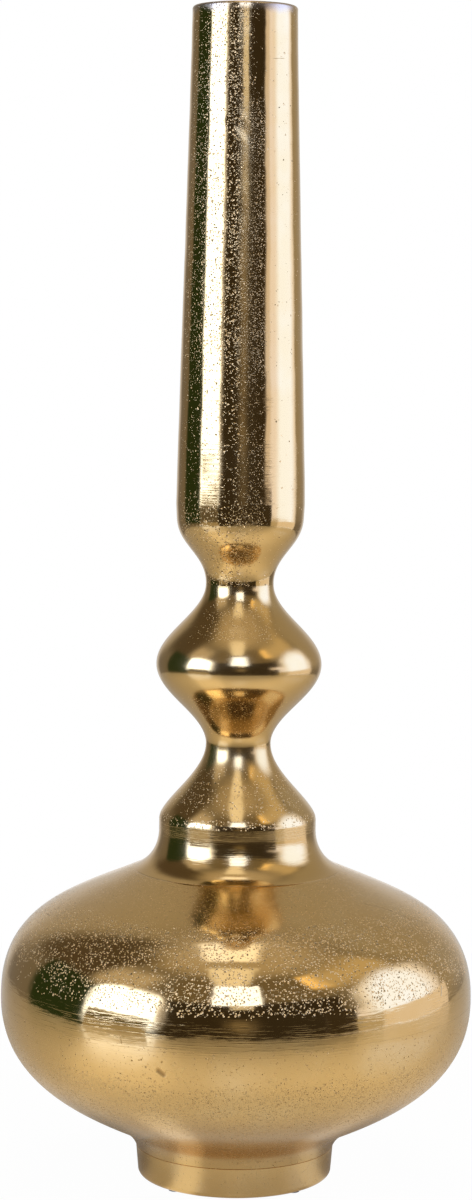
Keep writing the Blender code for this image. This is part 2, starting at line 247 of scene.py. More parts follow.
class FinishSettings(bpy.types.PropertyGroup):
    """Colours and surface of the plate and the other finishes."""

    gold: tint("Gold plate", "Colour of the plated wall", (0.62, 0.40, 0.15))
    deep_gold: tint("Deep gold", "Plate in pits and along joints", (0.36, 0.20, 0.06))
    pale_gold: tint("Pale gold", "Plate that is rubbed thin", (0.66, 0.50, 0.26))
    # Painted glint: a brighter plate colour for the bright pits, which stands in for the windows' glints in
    # them
    painted_glint: tint("Fleck", "Bright metal in the pits of the cast grain", (1.0, 0.64, 0.27))
    dark_pit: tint("Dark pit", "Dirt in the deepest pits", (0.12, 0.08, 0.035))
    worn_rim: tint("Worn rim", "Bare metal on the worn rim", (0.46, 0.37, 0.28))
    cast_wall: tint("Cast wall", "Unplated inside of a casting", (0.30, 0.27, 0.22))
    brass: tint("Brass", "Threaded nipples", (0.50, 0.36, 0.14))
    brass_stain: tint("Brass stain", "Darker places on the nipples", (0.22, 0.13, 0.05))
    felt: tint("Felt", "Felt pads", (0.05, 0.045, 0.04))
    pale_felt: tint("Pale felt", "Lighter fibres in the felt", (0.10, 0.09, 0.08))
    polished: share("Polished roughness", "Roughness of the polished plate", 0.09)
    satin: share("Satin roughness", "Roughness of the buffed bowl", 0.27)
    matt: share("Matt roughness", "Roughness of the top of the belly", 0.17)
    waist: share("Waist roughness", "Roughness of the two waists", 0.23)
    pitted: share("Pit roughness", "Roughness of the bright pits and of the nicks", 0.5)
    dirty: share("Dirt roughness", "Roughness of the dark pits", 0.4)
    scored: share("Scored roughness", "Roughness of the scored band", 0.3)
    worn: share("Worn roughness", "Roughness of the worn rim", 0.34)
    unplated: share("Unplated roughness", "Roughness inside a casting", 0.62)
    grain_size: length("Grain size", "Distance between two pits of the cast grain", 0.00115)
    grain_depth: length("Grain depth", "Depth of those pits", 0.00020)
    fine_size: length("Fine grain size", "Distance between two pits of the fine grain", 0.0007)
    fine_depth: length("Fine grain depth", "Depth of the fine pits", 0.00006)
    ripple: length("Ripple", "Height of the short ripples that the polishing wheel left", 0.00005)


class StudioSettings(bpy.types.PropertyGroup):
    """Camera, floor and the light round the vase."""

    window: amount("Windows", "Brightness of the large windows", 9.2)
    daylight: tint("Daylight", "Colour of the light in the windows", (0.42, 0.56, 1.0))
    wall: amount("Walls", "Brightness of the far walls", 0.24)
    lamp: amount("Top light", "Power of the light above the floor in watts", 60)
    lamp_size: length("Top light size", "Width of that light", 1.4)
    lamp_back: length("Top light back", "How far behind the vase that light hangs", 0.5)
    lamp_height: length("Top light height", "How high above the floor it hangs", 2.4)
    lamp_tilt: turn("Top light tilt", "How far it is turned to the back, or below 0 to the front", -12)
    floor: tint("Floor", "Colour of the plain floor", (0.66, 0.63, 0.54))
    floor_radius: length("Floor radius", "Radius of the floor round the vase", 1.0)
    floor_rough: share("Floor roughness", "Roughness of the floor", 0.12)
    floor_white: share("Floor white", "How far the floor round the foot is white for the camera", 0.98)
    lens: FloatProperty(name="Lens", description="Focal length in millimetres", default=85, min=10)
    sensor: amount("Sensor", "Height of the sensor in millimetres", 36)
    distance: length("Distance", "Level distance from the camera to the axis", 1.484)
    camera_height: length("Camera height", "Height of the lens above the floor", 0.4477)
    aside: FloatProperty(
        name="Aside", description="Camera's place to the right", default=-0.0019, unit="LENGTH", precision=5
    )
    tilt: turn("Tilt", "How far the camera looks down", 5.35)
    roll: turn("Roll", "How far the camera leans", 0.55)


class VaseSettings(bpy.types.PropertyGroup):
    """All the settings of the vase."""

    turning: PointerProperty(type=TurningSettings)
    foot: PointerProperty(type=FootSettings)
    bowl: PointerProperty(type=BowlSettings)
    shoulder: PointerProperty(type=ShoulderSettings)
    collar: PointerProperty(type=CollarSettings)
    knop: PointerProperty(type=KnopSettings)
    neck: PointerProperty(type=NeckSettings)
    nipple: PointerProperty(type=NippleSettings)
    finish: PointerProperty(type=FinishSettings)
    studio: PointerProperty(type=StudioSettings)


# Outlines


def point(radius, height):
    return Vector((radius, height))


def heading(angle):
    """Unit vector in the plane of an outline: 0 points outwards and 90 upwards."""
    return Vector((math.cos(math.radians(angle)), math.sin(math.radians(angle))))


def sweep(start, end, steps):
    """A cubic from start to end. Each is a point, the angle that the curve has there, and its fullness."""
    first, first_angle, first_fullness = start
    last, last_angle, last_fullness = end
    chord = (last - first).length
    leave = first + heading(first_angle) * chord * first_fullness
    arrive = last - heading(last_angle) * chord * last_fullness
    found = []
    for step in range(steps + 1):
        t = step / steps
        s = 1 - t
        found.append(first * s**3 + leave * 3 * s * s * t + arrive * 3 * s * t * t + last * t**3)
    return found


def core_sweep(start, start_angle, end, end_angle, steps):
    """A cubic on the inside of a casting, where every curve is as full as the next."""
    return sweep((start, start_angle, CORE_FULLNESS), (end, end_angle, CORE_FULLNESS), steps)


def arc(centre, radius, start_angle, end_angle, steps):
    span = end_angle - start_angle
    return [centre + heading(start_angle + span * step / steps) * radius for step in range(steps + 1)]


def straight(start, end, steps):
    """Points from start to end, without the end itself."""
    return [start.lerp(end, step / steps) for step in range(steps)]


def inside_of(outline, wall):
    """The inner face of a wall whose outside runs down the outline, run upwards."""
    found = []
    for index, here in enumerate(outline):
        before = outline[max(index - 1, 0)]
        after = outline[min(index + 1, len(outline) - 1)]
        along = (after - before).normalized()
        found.append(here + Vector((along.y, -along.x)) * wall)
    return found[::-1]


def raised(base, *parts):
    """The parts of an outline, lifted to the height that the piece stands at."""
    return [[p + point(0, base) for p in part] for part in parts]


def nipple_socket(nipple):
    """Radius and depth of the hole that takes half a nipple."""
    return nipple.radius + nipple.play, nipple.long / 2 + nipple.play


def foot_outline(vase):
    """Ring with a ledge in its bore. Returns the shown part and the hidden part."""
    foot = vase.foot
    height = BOWL_BASE - FOOT_BASE
    edge_centre = point(foot.radius - foot.taper - foot.edge_round, foot.edge_round)
    seat_radius = foot.radius - foot.wall
    bore_radius = seat_radius - foot.ledge_width
    top = point(foot.radius, height - foot.top_chamfer)
    shown = [
        point(foot.radius - foot.top_chamfer, height),
        *straight(top, edge_centre + point(foot.edge_round, 0), EDGE_STEPS),
        *arc(edge_centre, foot.edge_round, 0, -90, EDGE_STEPS),
    ]
    hidden = [
        point(bore_radius, 0),
        point(bore_radius, foot.ledge_height),
        point(seat_radius, foot.ledge_height),
        point(seat_radius, height),
    ]
    return raised(FOOT_BASE, shown, hidden)


def bowl_outline(vase):
    """Dish with a tongue round its brim and a spigot below. Returns inside, shown part and underside."""
    bowl = vase.bowl
    foot = vase.foot
    steps = vase.turning.steps
    seat = vase.turning.joint_line
    gap = vase.nipple.play
    brim = point(bowl.radius, bowl.height)
    cove_top = point(bowl.cove_top_radius, bowl.cove_top_height)
    cove_top_angle = 180 + bowl.cove_top_angle
    cove_foot = point(foot.radius + bowl.cove_overhang, seat)
    outside = sweep((brim, -90, bowl.fullness), (cove_top, cove_top_angle, bowl.fullness), 2 * steps)
    cove = sweep(
        (cove_top, cove_top_angle, bowl.cove_fullness),
        (cove_foot, 180 + bowl.cove_foot_angle, bowl.cove_fullness),
        steps // 2,
    )
    tongue_outer = bowl.radius - bowl.wall - 2 * gap
    tongue_inner = tongue_outer - bowl.tongue_wall
    inside = [p for p in inside_of(outside, bowl.wall) if p.x < tongue_inner]
    floor = core_sweep(point(0, bowl.floor_height), 0, inside[0], bowl.cove_top_angle, steps // 2)
    spigot_outer = foot.radius - foot.wall - gap
    spigot_inner = spigot_outer - bowl.spigot_wall
    spigot_end = foot.ledge_height + gap - (BOWL_BASE - FOOT_BASE)
    underside = [p - point(0, bowl.wall) for p in floor if p.x < spigot_inner - bowl.wall]
    within = [
        *floor,
        *inside[1:],
        point(tongue_inner, bowl.height - bowl.tongue_height),
        point(tongue_inner, bowl.height + bowl.tongue_height),
        point(tongue_outer, bowl.height + bowl.tongue_height),
        point(tongue_outer, bowl.height),
    ]
    below = [
        point(spigot_outer, seat),
        point(spigot_outer, spigot_end),
        point(spigot_inner, spigot_end),
        point(spigot_inner, underside[-1].y - bowl.wall / 2),
        *underside[::-1],
    ]
    return raised(BOWL_BASE, within, [*outside, *cove[1:]], below)


def shoulder_outline(vase):
    """Upper half of the belly, with the flat seat and the threaded boss that take the collar."""
    shoulder = vase.shoulder
    bowl = vase.bowl
    seat = vase.turning.joint_line
    gap = vase.nipple.play
    base = BOWL_BASE + bowl.height
    height = COLLAR_BASE - base
    outside = sweep(
        (point(shoulder.seat_radius, height), shoulder.seat_angle, shoulder.seat_fullness),
        (point(bowl.radius, seat), -90, shoulder.belly_fullness),
        2 * vase.turning.steps,
    )
    mouth_radius = vase.collar.spigot_radius + gap
    boss_radius = mouth_radius + shoulder.boss_wall
    boss_foot = height - shoulder.boss_depth
    register_radius = bowl.radius - bowl.wall - gap
    register_depth = bowl.tongue_height + 2 * gap
    inside = [
        p for p in inside_of(outside, bowl.wall) if p.y > register_depth and p.x > boss_radius + bowl.wall
    ]
    hidden = [
        point(register_radius, seat),
        point(register_radius, register_depth),
        *inside,
        point(boss_radius, height - bowl.wall),
        point(boss_radius, boss_foot),
        point(mouth_radius, boss_foot),
    ]
    return raised(base, [point(mouth_radius, height), *outside], hidden)


def collar_outline(vase):
    """Waist, ogee slope, short cylinder and flared flange, with a threaded spigot below."""
    collar = vase.collar
    steps = vase.turning.steps
    seat = vase.turning.joint_line
    height = KNOP_BASE - COLLAR_BASE
    socket_radius, socket_depth = nipple_socket(vase.nipple)
    ogee = sweep(
        (point(collar.waist_radius, height), -90, collar.waist_fullness),
        (
            point(collar.radius - collar.break_chamfer, collar.break_height),
            collar.break_angle,
            collar.break_fullness,
        ),
        steps,
    )
    cylinder_top = collar.break_height - collar.break_drop
    cylinder_foot = point(collar.radius, cylinder_top - collar.cylinder)
    flange_radius = vase.shoulder.seat_radius - collar.flange_inset
    fillet = sweep(
        (cylinder_foot, -90, collar.fillet_fullness),
        (point(flange_radius, collar.flange_edge), collar.flange_angle, collar.fillet_fullness),
        steps,
    )
    cylinder = straight(point(collar.radius, cylinder_top), fillet[0], CYLINDER_STEPS)
    shown = [*ogee, *cylinder, *fillet, point(flange_radius, seat)]
    spigot_inner = collar.spigot_radius - collar.spigot_wall
    spigot_foot = point(collar.spigot_radius, -collar.spigot_length)
    core_radius = collar.radius - collar.wall
    core_foot = point(core_radius, collar.break_height - collar.wall)
    hidden = [
        *straight(point(collar.spigot_radius, seat), spigot_foot, SPIGOT_STEPS),
        spigot_foot,
        point(spigot_inner, -collar.spigot_length),
        point(spigot_inner, collar.floor_height),
        point(core_radius, collar.floor_height + collar.ramp_height),
        *core_sweep(core_foot, 90, point(socket_radius, height - socket_depth), 150, steps // 3),
        point(socket_radius, height),
    ]
    return raised(COLLAR_BASE, shown, hidden)


def knop_outline(vase):
    """Round knop between two waists, hollow inside, with a nipple socket at each end."""
    knop = vase.knop
    steps = vase.turning.steps
    seat = vase.turning.joint_line
    height = NECK_BASE - KNOP_BASE
    widest = (point(knop.radius, height / 2), -90, knop.belly_fullness)
    top = (point(vase.neck.waist_radius, height), -90, knop.waist_fullness)
    foot = (point(vase.collar.waist_radius, seat), -90, knop.waist_fullness)
    socket_radius, socket_depth = nipple_socket(vase.nipple)
    core_widest = point(knop.radius - knop.wall, height / 2)
    core_foot = point(socket_radius, socket_depth)
    core_top = point(socket_radius, height - socket_depth)
    hidden = [
        point(socket_radius, seat),
        *core_sweep(core_foot, 30, core_widest, 90, steps // 3),
        *core_sweep(core_widest, 90, core_top, 150, steps // 3)[1:],
        point(socket_radius, height),
    ]
    return raised(KNOP_BASE, [*sweep(top, widest, steps), *sweep(widest, foot, steps)[1:]], hidden)


def neck_outline(vase):
    """Long tube with a rounded lip, drawn in at the bottom to the upper waist."""
    neck = vase.neck
    steps = vase.turning.steps
    seat = vase.turning.joint_line
    height = RIM_TOP - NECK_BASE
    lip_height = height - neck.rim_round
    lip_outer = point(neck.mouth_radius - neck.rim_round, lip_height)
    lip_inner = point(neck.mouth_radius - neck.wall + neck.rim_round, lip_height)
    taper = sweep(
        (point(neck.mouth_radius, height - neck.rim_height), neck.taper_angle, neck.taper_fullness),
        (point(neck.radius, neck.shoulder_height + neck.swell_height), neck.taper_angle, neck.taper_fullness),
        3 * steps,
    )
    foot = sweep(
        (
            point(neck.radius - neck.shoulder_inset, neck.shoulder_height),
            neck.shoulder_angle,
            neck.shoulder_fullness,
        ),
        (point(neck.waist_radius, seat), -90, neck.shoulder_fullness),
        steps,
    )
    inside = inside_of(taper[::8], neck.wall)
    socket_radius, socket_depth = nipple_socket(vase.nipple)
    floor = core_sweep(point(socket_radius, socket_depth), 20, inside[0], 90, steps // 3)
    shown = [
        *arc(lip_inner, neck.rim_round, 180, 90, LIP_STEPS),
        *arc(lip_outer, neck.rim_round, 90, 0, LIP_STEPS),
        *taper,
        *foot,
    ]
    return raised(NECK_BASE, shown, [point(socket_radius, seat), *floor, *inside[1:]])


def nipple_outline(vase, middle):
    """Hollow screw with chamfered ends, centred on the joint that it holds."""
    nipple = vase.nipple
    half = nipple.long / 2
    bore = nipple.radius - nipple.wall
    end_radius = nipple.radius - nipple.chamfer
    upper = point(nipple.radius, half - nipple.chamfer)
    lower = point(nipple.radius, nipple.chamfer - half)
    shown = [point(end_radius, half), *straight(upper, lower, NIPPLE_STEPS), lower, point(end_radius, -half)]
    return raised(middle, shown, [point(bore, -half), point(bore, half)])


# Node graphs


class Graph:
    """A node tree that is built by adding nodes whose inputs are values or other nodes' outputs."""

    def __init__(self, tree):
        self.tree = tree

    def node(self, kind, inputs=None, **traits):
        made = self.tree.nodes.new(kind)
        for name, value in traits.items():
            setattr(made, name, value)
        for key, value in (inputs or {}).items():
            self.give(made.inputs[key], value)
        return made

    def give(self, target, value):
        """Sets an input, or links it where the value is another node's output."""
        if isinstance(value, bpy.types.NodeSocket):
            self.tree.links.new(value, target)
        else:
            target.default_value = value

    def out(self, kind, inputs=None, **traits):
        """The first output of a new node."""
        return self.node(kind, inputs, **traits).outputs[0]

    def shape(self, kind, geometry, inputs=None, **traits):
        """What a new geometry node makes of a geometry."""
        return self.out(f"GeometryNode{kind}", {"Geometry": geometry, **(inputs or {})}, **traits)

    def math(self, operation, *values, clamp=False):
        return self.out("ShaderNodeMath", dict(enumerate(values)), operation=operation, use_clamp=clamp)

    def chain(self, operation, values):
        """Applies an operation on two values to all of them, from left to right."""
        found = values[0]
        for value in values[1:]:
            found = self.math(operation, found, value)
        return found

    def times(self, *values):
        return self.chain("MULTIPLY", values)

    def plus(self, *values):
        return self.chain("ADD", values)

    def larger(self, *values):
        return self.chain("MAXIMUM", values)

    def minus(self, first, second):
        return self.math("SUBTRACT", first, second)

    def over(self, first, second):
        return self.math("DIVIDE", first, second)

    def absolute(self, value):
        return self.math("ABSOLUTE", value)

    def vector(self, operation, *values, output="Vector"):
        inputs = dict(enumerate(values))
        return self.node("ShaderNodeVectorMath", inputs, operation=operation).outputs[output]

    def dot(self, first, second):
        return self.vector("DOT_PRODUCT", first, second, output="Value")

    def length(self, vector):
        return self.vector("LENGTH", vector, output="Value")

    def scaled(self, vector, factor):
        return self.out("ShaderNodeVectorMath", {0: vector, "Scale": factor}, operation="SCALE")

    def split(self, vector):
        return self.node("ShaderNodeSeparateXYZ", {0: vector}).outputs

    def joined(self, x, y, z):
        return self.out("ShaderNodeCombineXYZ", {0: x, 1: y, 2: z})

    def reach(self, x, y):
        """Distance from the axis."""
        return self.math("SQRT", self.plus(self.times(x, x), self.times(y, y)))

    def outwards(self, x, y):
        """Level unit vector away from the axis."""
        return self.vector("NORMALIZE", self.joined(x, y, 0.0))

    def fade(self, value, start, end, low=0.0, high=1.0):
        """Eases from low to high as the value goes from start to end."""
        inputs = {"Value": value, 1: start, 2: end, 3: low, 4: high}
        return self.out("ShaderNodeMapRange", inputs, interpolation_type="SMOOTHSTEP")

    def mix(self, factor, first, second):
        """Mixes two numbers."""
        return self.out("ShaderNodeMix", {0: factor, 2: first, 3: second})

    def blend(self, factor, first, second):
        """Mixes two colours. The second has no alpha."""
        inputs = {0: factor, 6: first, 7: (*second, 1)}
        return self.node("ShaderNodeMix", inputs, data_type="RGBA").outputs[2]

    def noise(self, vector, scale, detail=2.0, roughness=0.5):
        inputs = {"Vector": vector, "Scale": scale, "Detail": detail, "Roughness": roughness}
        return self.out("ShaderNodeTexNoise", inputs)

    def group(self, tree, inputs):
        return self.node("ShaderNodeGroup", inputs, node_tree=tree).outputs


def new_group(name, kind, inputs, outputs):
    """A new node group, its graph, its inputs and its output node's sockets.

    An input is given by its default value, or by the kind of its socket where it has none.
    """
    tree = bpy.data.node_groups.new(name, kind)
    for label, value in inputs.items():
        if isinstance(value, str):
            tree.interface.new_socket(label, in_out="INPUT", socket_type=f"NodeSocket{value}")
        else:
            socket_type = "NodeSocketInt" if isinstance(value, int) else "NodeSocketFloat"
            tree.interface.new_socket(label, in_out="INPUT", socket_type=socket_type).default_value = value
    for label in outputs:
        socket_type = "NodeSocketGeometry" if label == "Geometry" else "NodeSocketFloat"
        tree.interface.new_socket(label, in_out="OUTPUT", socket_type=socket_type)
    graph = Graph(tree)
    given = graph.node("NodeGroupInput").outputs
    result = graph.node("NodeGroupOutput").inputs
    return tree, graph, given, result


def end_tree(g, geometry, given, result):
    """Ends a geometry tree in real geometry with its material."""
    real = g.shape("RealizeInstances", geometry)
    g.give(result[0], g.shape("SetMaterial", real, {"Material": given["Finish"]}))


def lathe_group():
    """Turns an outline about the axis, with a polisher's waves and, where asked, a cut thread."""
    inputs = {
        "Outline": "Object",
        "Sides": 224,
        "Hub": HUB,
        "Sharp Angle": 0.6,
        "Shown From": 0,
        "Shown To": 100,
        "Wave Height": 0.0,
        "Wave Size": 0.02,
        "Thread Radius": 0.0,
        "Thread Foot": 0.0,
        "Thread Top": 0.0,
        "Thread Pitch": 0.002,
        "Thread Depth": 0.0,
        "Finish": "Material",
    }
    tree, g, given, result = new_group("Turned casting", "GeometryNodeTree", inputs, ["Geometry"])
    outline = g.node("GeometryNodeObjectInfo", {"Object": given["Outline"]}).outputs["Geometry"]
    index = g.out("GeometryNodeInputIndex")
    before = g.math("LESS_THAN", index, given["Shown From"])
    after = g.math("GREATER_THAN", index, given["Shown To"])
    named = {"Name": "cored", "Value": g.larger(before, after)}
    cored = g.shape("StoreNamedAttribute", outline, named, domain="POINT")
    circle = g.out("GeometryNodeCurvePrimitiveCircle", {"Resolution": given["Sides"], "Radius": given["Hub"]})
    turned = g.out("GeometryNodeCurveToMesh", {"Curve": circle, "Profile Curve": cored})
    closed = g.shape("MergeByDistance", turned, {"Distance": WELD})

    place = g.out("GeometryNodeInputPosition")
    x, y, z = g.split(place)
    reach = g.reach(x, y)
    outwards = g.outwards(x, y)
    waves = g.minus(g.noise(place, g.over(1.0, given["Wave Size"]), 1.0), 1.0)
    # The waves end before the waists, where the pieces meet
    on_wall = g.fade(reach, 0.018, 0.03)
    swell = g.scaled(outwards, g.times(waves, given["Wave Height"], on_wall))
    waved = g.shape("SetPosition", closed, {"Offset": swell})

    pitch = given["Thread Pitch"]
    turns = g.over(g.math("ARCTAN2", y, x), 2 * math.pi)
    ridge = g.math("PINGPONG", g.minus(g.over(z, pitch), turns), 0.5)
    near = g.math("LESS_THAN", g.absolute(g.minus(reach, given["Thread Radius"])), THREAD_NEAR)
    inlet = g.fade(z, given["Thread Foot"], g.plus(given["Thread Foot"], pitch))
    outlet = g.fade(z, given["Thread Top"], g.minus(given["Thread Top"], pitch))
    cut = g.times(inlet, outlet, near, given["Thread Depth"])
    groove = g.scaled(outwards, g.times(ridge, cut, -2.0))
    threaded = g.shape("SetPosition", waved, {"Offset": groove})

    smooth = g.shape("SetShadeSmooth", threaded)
    bend = g.node("GeometryNodeInputMeshEdgeAngle").outputs["Unsigned Angle"]
    named = {"Name": "sharp_edge", "Value": g.math("GREATER_THAN", bend, given["Sharp Angle"])}
    crisp = g.shape("StoreNamedAttribute", smooth, named, data_type="BOOLEAN", domain="EDGE")
    end_tree(g, crisp, given, result)
    return tree


def pads_group():
    """Felt discs spaced evenly on a circle, with a soft cut edge and a fibrous face."""
    inputs = {
        "Count": 4,
        "Circle": 0.04,
        "Radius": 0.004,
        "Thickness": 0.0012,
        "Round": 0.0003,
        "Fuzz": 0.00006,
        "Finish": "Material",
    }
    tree, g, given, result = new_group("Felt pads", "GeometryNodeTree", inputs, ["Geometry"])
    facets = {"Vertices": 48, "Side Segments": 6, "Fill Segments": 14}
    sizes = {"Radius": given["Radius"], "Depth": given["Thickness"]}
    disc = g.out("GeometryNodeMeshCylinder", {**facets, **sizes})
    welded = g.shape("MergeByDistance", disc, {"Distance": WELD})

    place = g.out("GeometryNodeInputPosition")
    x, y, z = g.split(place)
    half = g.over(given["Thickness"], 2.0)
    edge = g.fade(g.reach(x, y), g.minus(given["Radius"], given["Round"]), given["Radius"])
    face = g.fade(g.absolute(z), g.minus(half, given["Round"]), half)
    rounding = g.times(face, edge, given["Round"])
    # The cut edge is drawn in by up to 0.8 of its rounding, and down by up to 0.6
    draw_in = g.scaled(g.outwards(x, y), g.times(rounding, -0.8))
    drop = g.joined(0.0, 0.0, g.times(g.math("SIGN", z), rounding, -0.6))
    rounded = g.shape("SetPosition", welded, {"Offset": g.vector("ADD", draw_in, drop)})
    fibres = g.times(g.noise(place, 2600.0, 3.0), given["Fuzz"], -1.0)
    normal = g.out("GeometryNodeInputNormal")
    fuzzy = g.shape("SetPosition", rounded, {"Offset": g.scaled(normal, fibres)})

    ring = g.out("GeometryNodeMeshCircle", {"Vertices": given["Count"], "Radius": given["Circle"]})
    smooth = g.shape("SetShadeSmooth", fuzzy)
    placed = g.out("GeometryNodeInstanceOnPoints", {"Points": ring, "Instance": smooth})
    lift = g.joined(0.0, 0.0, half)
    half_step = g.joined(0.0, 0.0, g.over(math.pi, given["Count"]))
    turned = g.shape("Transform", placed, {"Translation": lift, "Rotation": half_step})
    end_tree(g, turned, given, result)
    return tree


def made_group(name, builder):
    """The node group of that name, built on its first use."""
    return bpy.data.node_groups.get(name) or builder()


# Pieces


def add_object(name, data):
    """A new object in the scene."""
    made = bpy.data.objects.new(name, data)
    bpy.context.scene.collection.objects.link(made)
    return made


def finish_mesh(shape, mesh):
    """Writes what was built in a bmesh to a mesh."""
    shape.to_mesh(mesh)
    shape.free()
    return mesh


def new_material(name):
    """A new material, its graph and its Principled shader."""
    material = bpy.data.materials.new(name)
    material.use_nodes = True
    return material, Graph(material.node_tree), material.node_tree.nodes["Principled BSDF"]


def mesh_from_tree(name, tree, values):
    """The plain mesh that a geometry tree gives, with nothing live left on it."""
    holder = add_object(f"{name}_holder", bpy.data.meshes.new(f"{name}_holder"))
    modifier = holder.modifiers.new(tree.name, "NODES")
    modifier.node_group = tree
    for item in tree.interface.items_tree:
        if item.in_out == "INPUT" and item.name in values:
            modifier[item.identifier] = values[item.name]
    depsgraph = bpy.context.evaluated_depsgraph_get()
    depsgraph.update()
    mesh = bpy.data.meshes.new_from_object(holder.evaluated_get(depsgraph), depsgraph=depsgraph)
    mesh.name = name
    bpy.data.objects.remove(holder)
    shape = bmesh.new()
    shape.from_mesh(mesh)
    bmesh.ops.recalc_face_normals(shape, faces=shape.faces)
    return finish_mesh(shape, mesh)


def add_piece(name, mesh, slot, *nodes):
    """Puts a finished mesh in the scene in place of the frame's own nodes."""
    piece = add_object(name, mesh)
    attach(piece, BODY)
    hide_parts(*nodes)


def outline_object(name, outline, closed):
    """A curve object that carries an outline to the lathe, drawn from the hub."""
    curve = bpy.data.curves.new(name, "CURVE")
    curve.dimensions = "3D"
    spline = curve.splines.new("POLY")
    spline.points.add(len(outline) - 1)
    for corner, p in zip(spline.points, outline):
        corner.co = (p.x - HUB, -p.y, 0, 1)
    spline.use_cyclic_u = closed
    return add_object(name, curve)


def add_casting(vase, name, parts, finish, slot, shown=0, waves=1.0, thread=None, sides=None):
    """Turns the parts of an outline into a casting. shown is the index of the part that is seen."""
    outline = [p for part in parts for p in part]
    first = sum(len(part) for part in parts[:shown])
    turning = vase.turning
    carrier = outline_object(f"{name}_outline", outline, outline[0].x > 0)
    values = {
        "Outline": carrier,
        "Sides": sides or turning.sides,
        "Hub": HUB,
        "Sharp Angle": math.radians(turning.sharp_angle),
        "Shown From": first,
        "Shown To": first + len(parts[shown]) - 1,
        "Wave Height": 2 * turning.wave_height * waves,
        "Wave Size": turning.wave_size,
        "Finish": finish,
    }
    if thread:
        values["Thread Radius"], values["Thread Foot"], values["Thread Top"] = thread
        values["Thread Pitch"] = vase.nipple.pitch
        values["Thread Depth"] = vase.nipple.depth
    bpy.context.view_layer.update()
    mesh = mesh_from_tree(name, made_group("Turned casting", lathe_group), values)
    curve = carrier.data
    bpy.data.objects.remove(carrier)
    bpy.data.curves.remove(curve)
    add_piece(f"{name}_turned", mesh, slot, name)


# Finishes


def grain_group():
    """Small round pits that casting leaves under the plate, some of them bright and a few dark."""
    inputs = {"Vector": "Vector", "Size": 0.0011, "Share": 0.5, "Dark Share": 0.12}
    tree, g, given, result = new_group("Cast grain", "ShaderNodeTree", inputs, ["Height", "Bright", "Dark"])
    scale = g.over(1.0, given["Size"])
    place = given["Vector"]
    drift = g.node("ShaderNodeTexNoise", {"Vector": place, "Scale": scale, "Detail": 1.0}).outputs["Color"]
    bent = g.vector("ADD", place, g.scaled(drift, g.times(given["Size"], 0.9)))
    cell = g.node("ShaderNodeTexVoronoi", {"Vector": bent, "Scale": scale, "Randomness": 1.0}).outputs
    red, green, blue = g.node("ShaderNodeSeparateColor", {0: cell["Color"]}).outputs
    picked = g.math("LESS_THAN", red, given["Share"])
    # A pit is 0.28 to 0.5 of a cell in radius, flat over the inner 0.45 of that, and 0.5 to 1.3 deep
    width = g.plus(g.times(green, 0.22), 0.28)
    pits = g.times(g.fade(cell["Distance"], g.times(width, 0.45), width, 1.0, 0.0), picked)
    depth = g.times(pits, g.minus(1.3, g.times(blue, 0.8)))
    dark = g.times(pits, g.math("LESS_THAN", blue, given["Dark Share"]))
    g.give(result["Height"], g.times(depth, -1.0))
    g.give(result["Bright"], g.minus(pits, dark))
    g.give(result["Dark"], dark)
    return tree


def rings_group():
    """Fine turning marks that run round the axis, left bare in patches."""
    inputs = {"Vector": "Vector", "Pitch": 0.0004, "Run": 3.0, "Patches": 0.03, "Bare": 0.35}
    tree, g, given, result = new_group("Turning marks", "ShaderNodeTree", inputs, ["Height"])
    x, y, z = g.split(given["Vector"])
    # The radius counts too, so that the marks go on across level faces
    along = g.over(g.minus(z, g.times(g.reach(x, y), 0.6)), given["Pitch"])
    away_x, away_y, _ = g.split(g.outwards(x, y))
    wound = g.joined(g.times(away_x, given["Run"]), g.times(away_y, given["Run"]), along)
    marks = g.fade(g.noise(wound, 1.0, 3.0, 0.7), 0.5, 0.66)
    bare = given["Bare"]
    clouds = g.noise(given["Vector"], g.over(1.0, given["Patches"]), 1.0)
    patches = g.fade(clouds, bare, g.plus(bare, 0.3))
    g.give(result["Height"], g.times(g.minus(marks, 0.5), patches))
    return tree


def band_group():
    """A soft band between two heights, with a ragged edge."""
    inputs = {"Vector": "Vector", "Low": 0.0, "High": 1.0, "Soft": 0.004, "Ragged": 0.0}
    tree, g, given, result = new_group("Height band", "ShaderNodeTree", inputs, ["Mask"])
    ragged = g.times(g.minus(g.noise(given["Vector"], 90.0, 3.0), 0.5), given["Ragged"])
    z = g.plus(g.split(given["Vector"])[2], ragged)
    rise = g.fade(z, given["Low"], g.plus(given["Low"], given["Soft"]))
    fall = g.fade(z, given["High"], g.minus(given["High"], given["Soft"]))
    g.give(result["Mask"], g.times(rise, fall))
    return tree


def facing_group():
    """A soft mask on the side of the vase that lies towards an angle, 0 being the front."""
    inputs = {"Vector": "Vector", "Angle": 0.0, "Half Width": 0.5, "Soft": 0.2}
    tree, g, given, result = new_group("Facing side", "ShaderNodeTree", inputs, ["Mask"])
    x, y, _ = g.split(given["Vector"])
    here = g.math("ARCTAN2", x, g.times(y, -1.0))
    away = g.absolute(g.math("WRAP", g.minus(here, given["Angle"]), math.pi, -math.pi))
    near = g.minus(given["Half Width"], given["Soft"])
    far = g.plus(given["Half Width"], given["Soft"])
    g.give(result["Mask"], g.fade(away, near, far, 1.0, 0.0))
    return tree


def nick_group():
    """A nick or scratch from one point to another, as a mask that is 1 in its middle."""
    inputs = {"Vector": "Vector", "Start": "Vector", "End": "Vector", "Width": 0.0005}
    tree, g, given, result = new_group("Nick", "ShaderNodeTree", inputs, ["Mask"])
    run = g.vector("SUBTRACT", given["End"], given["Start"])
    here = g.vector("SUBTRACT", given["Vector"], given["Start"])
    part = g.math("DIVIDE", g.dot(here, run), g.dot(run, run), clamp=True)
    away = g.length(g.vector("SUBTRACT", here, g.scaled(run, part)))
    g.give(result["Mask"], g.fade(away, 0.0, given["Width"], 1.0, 0.0))
    return tree


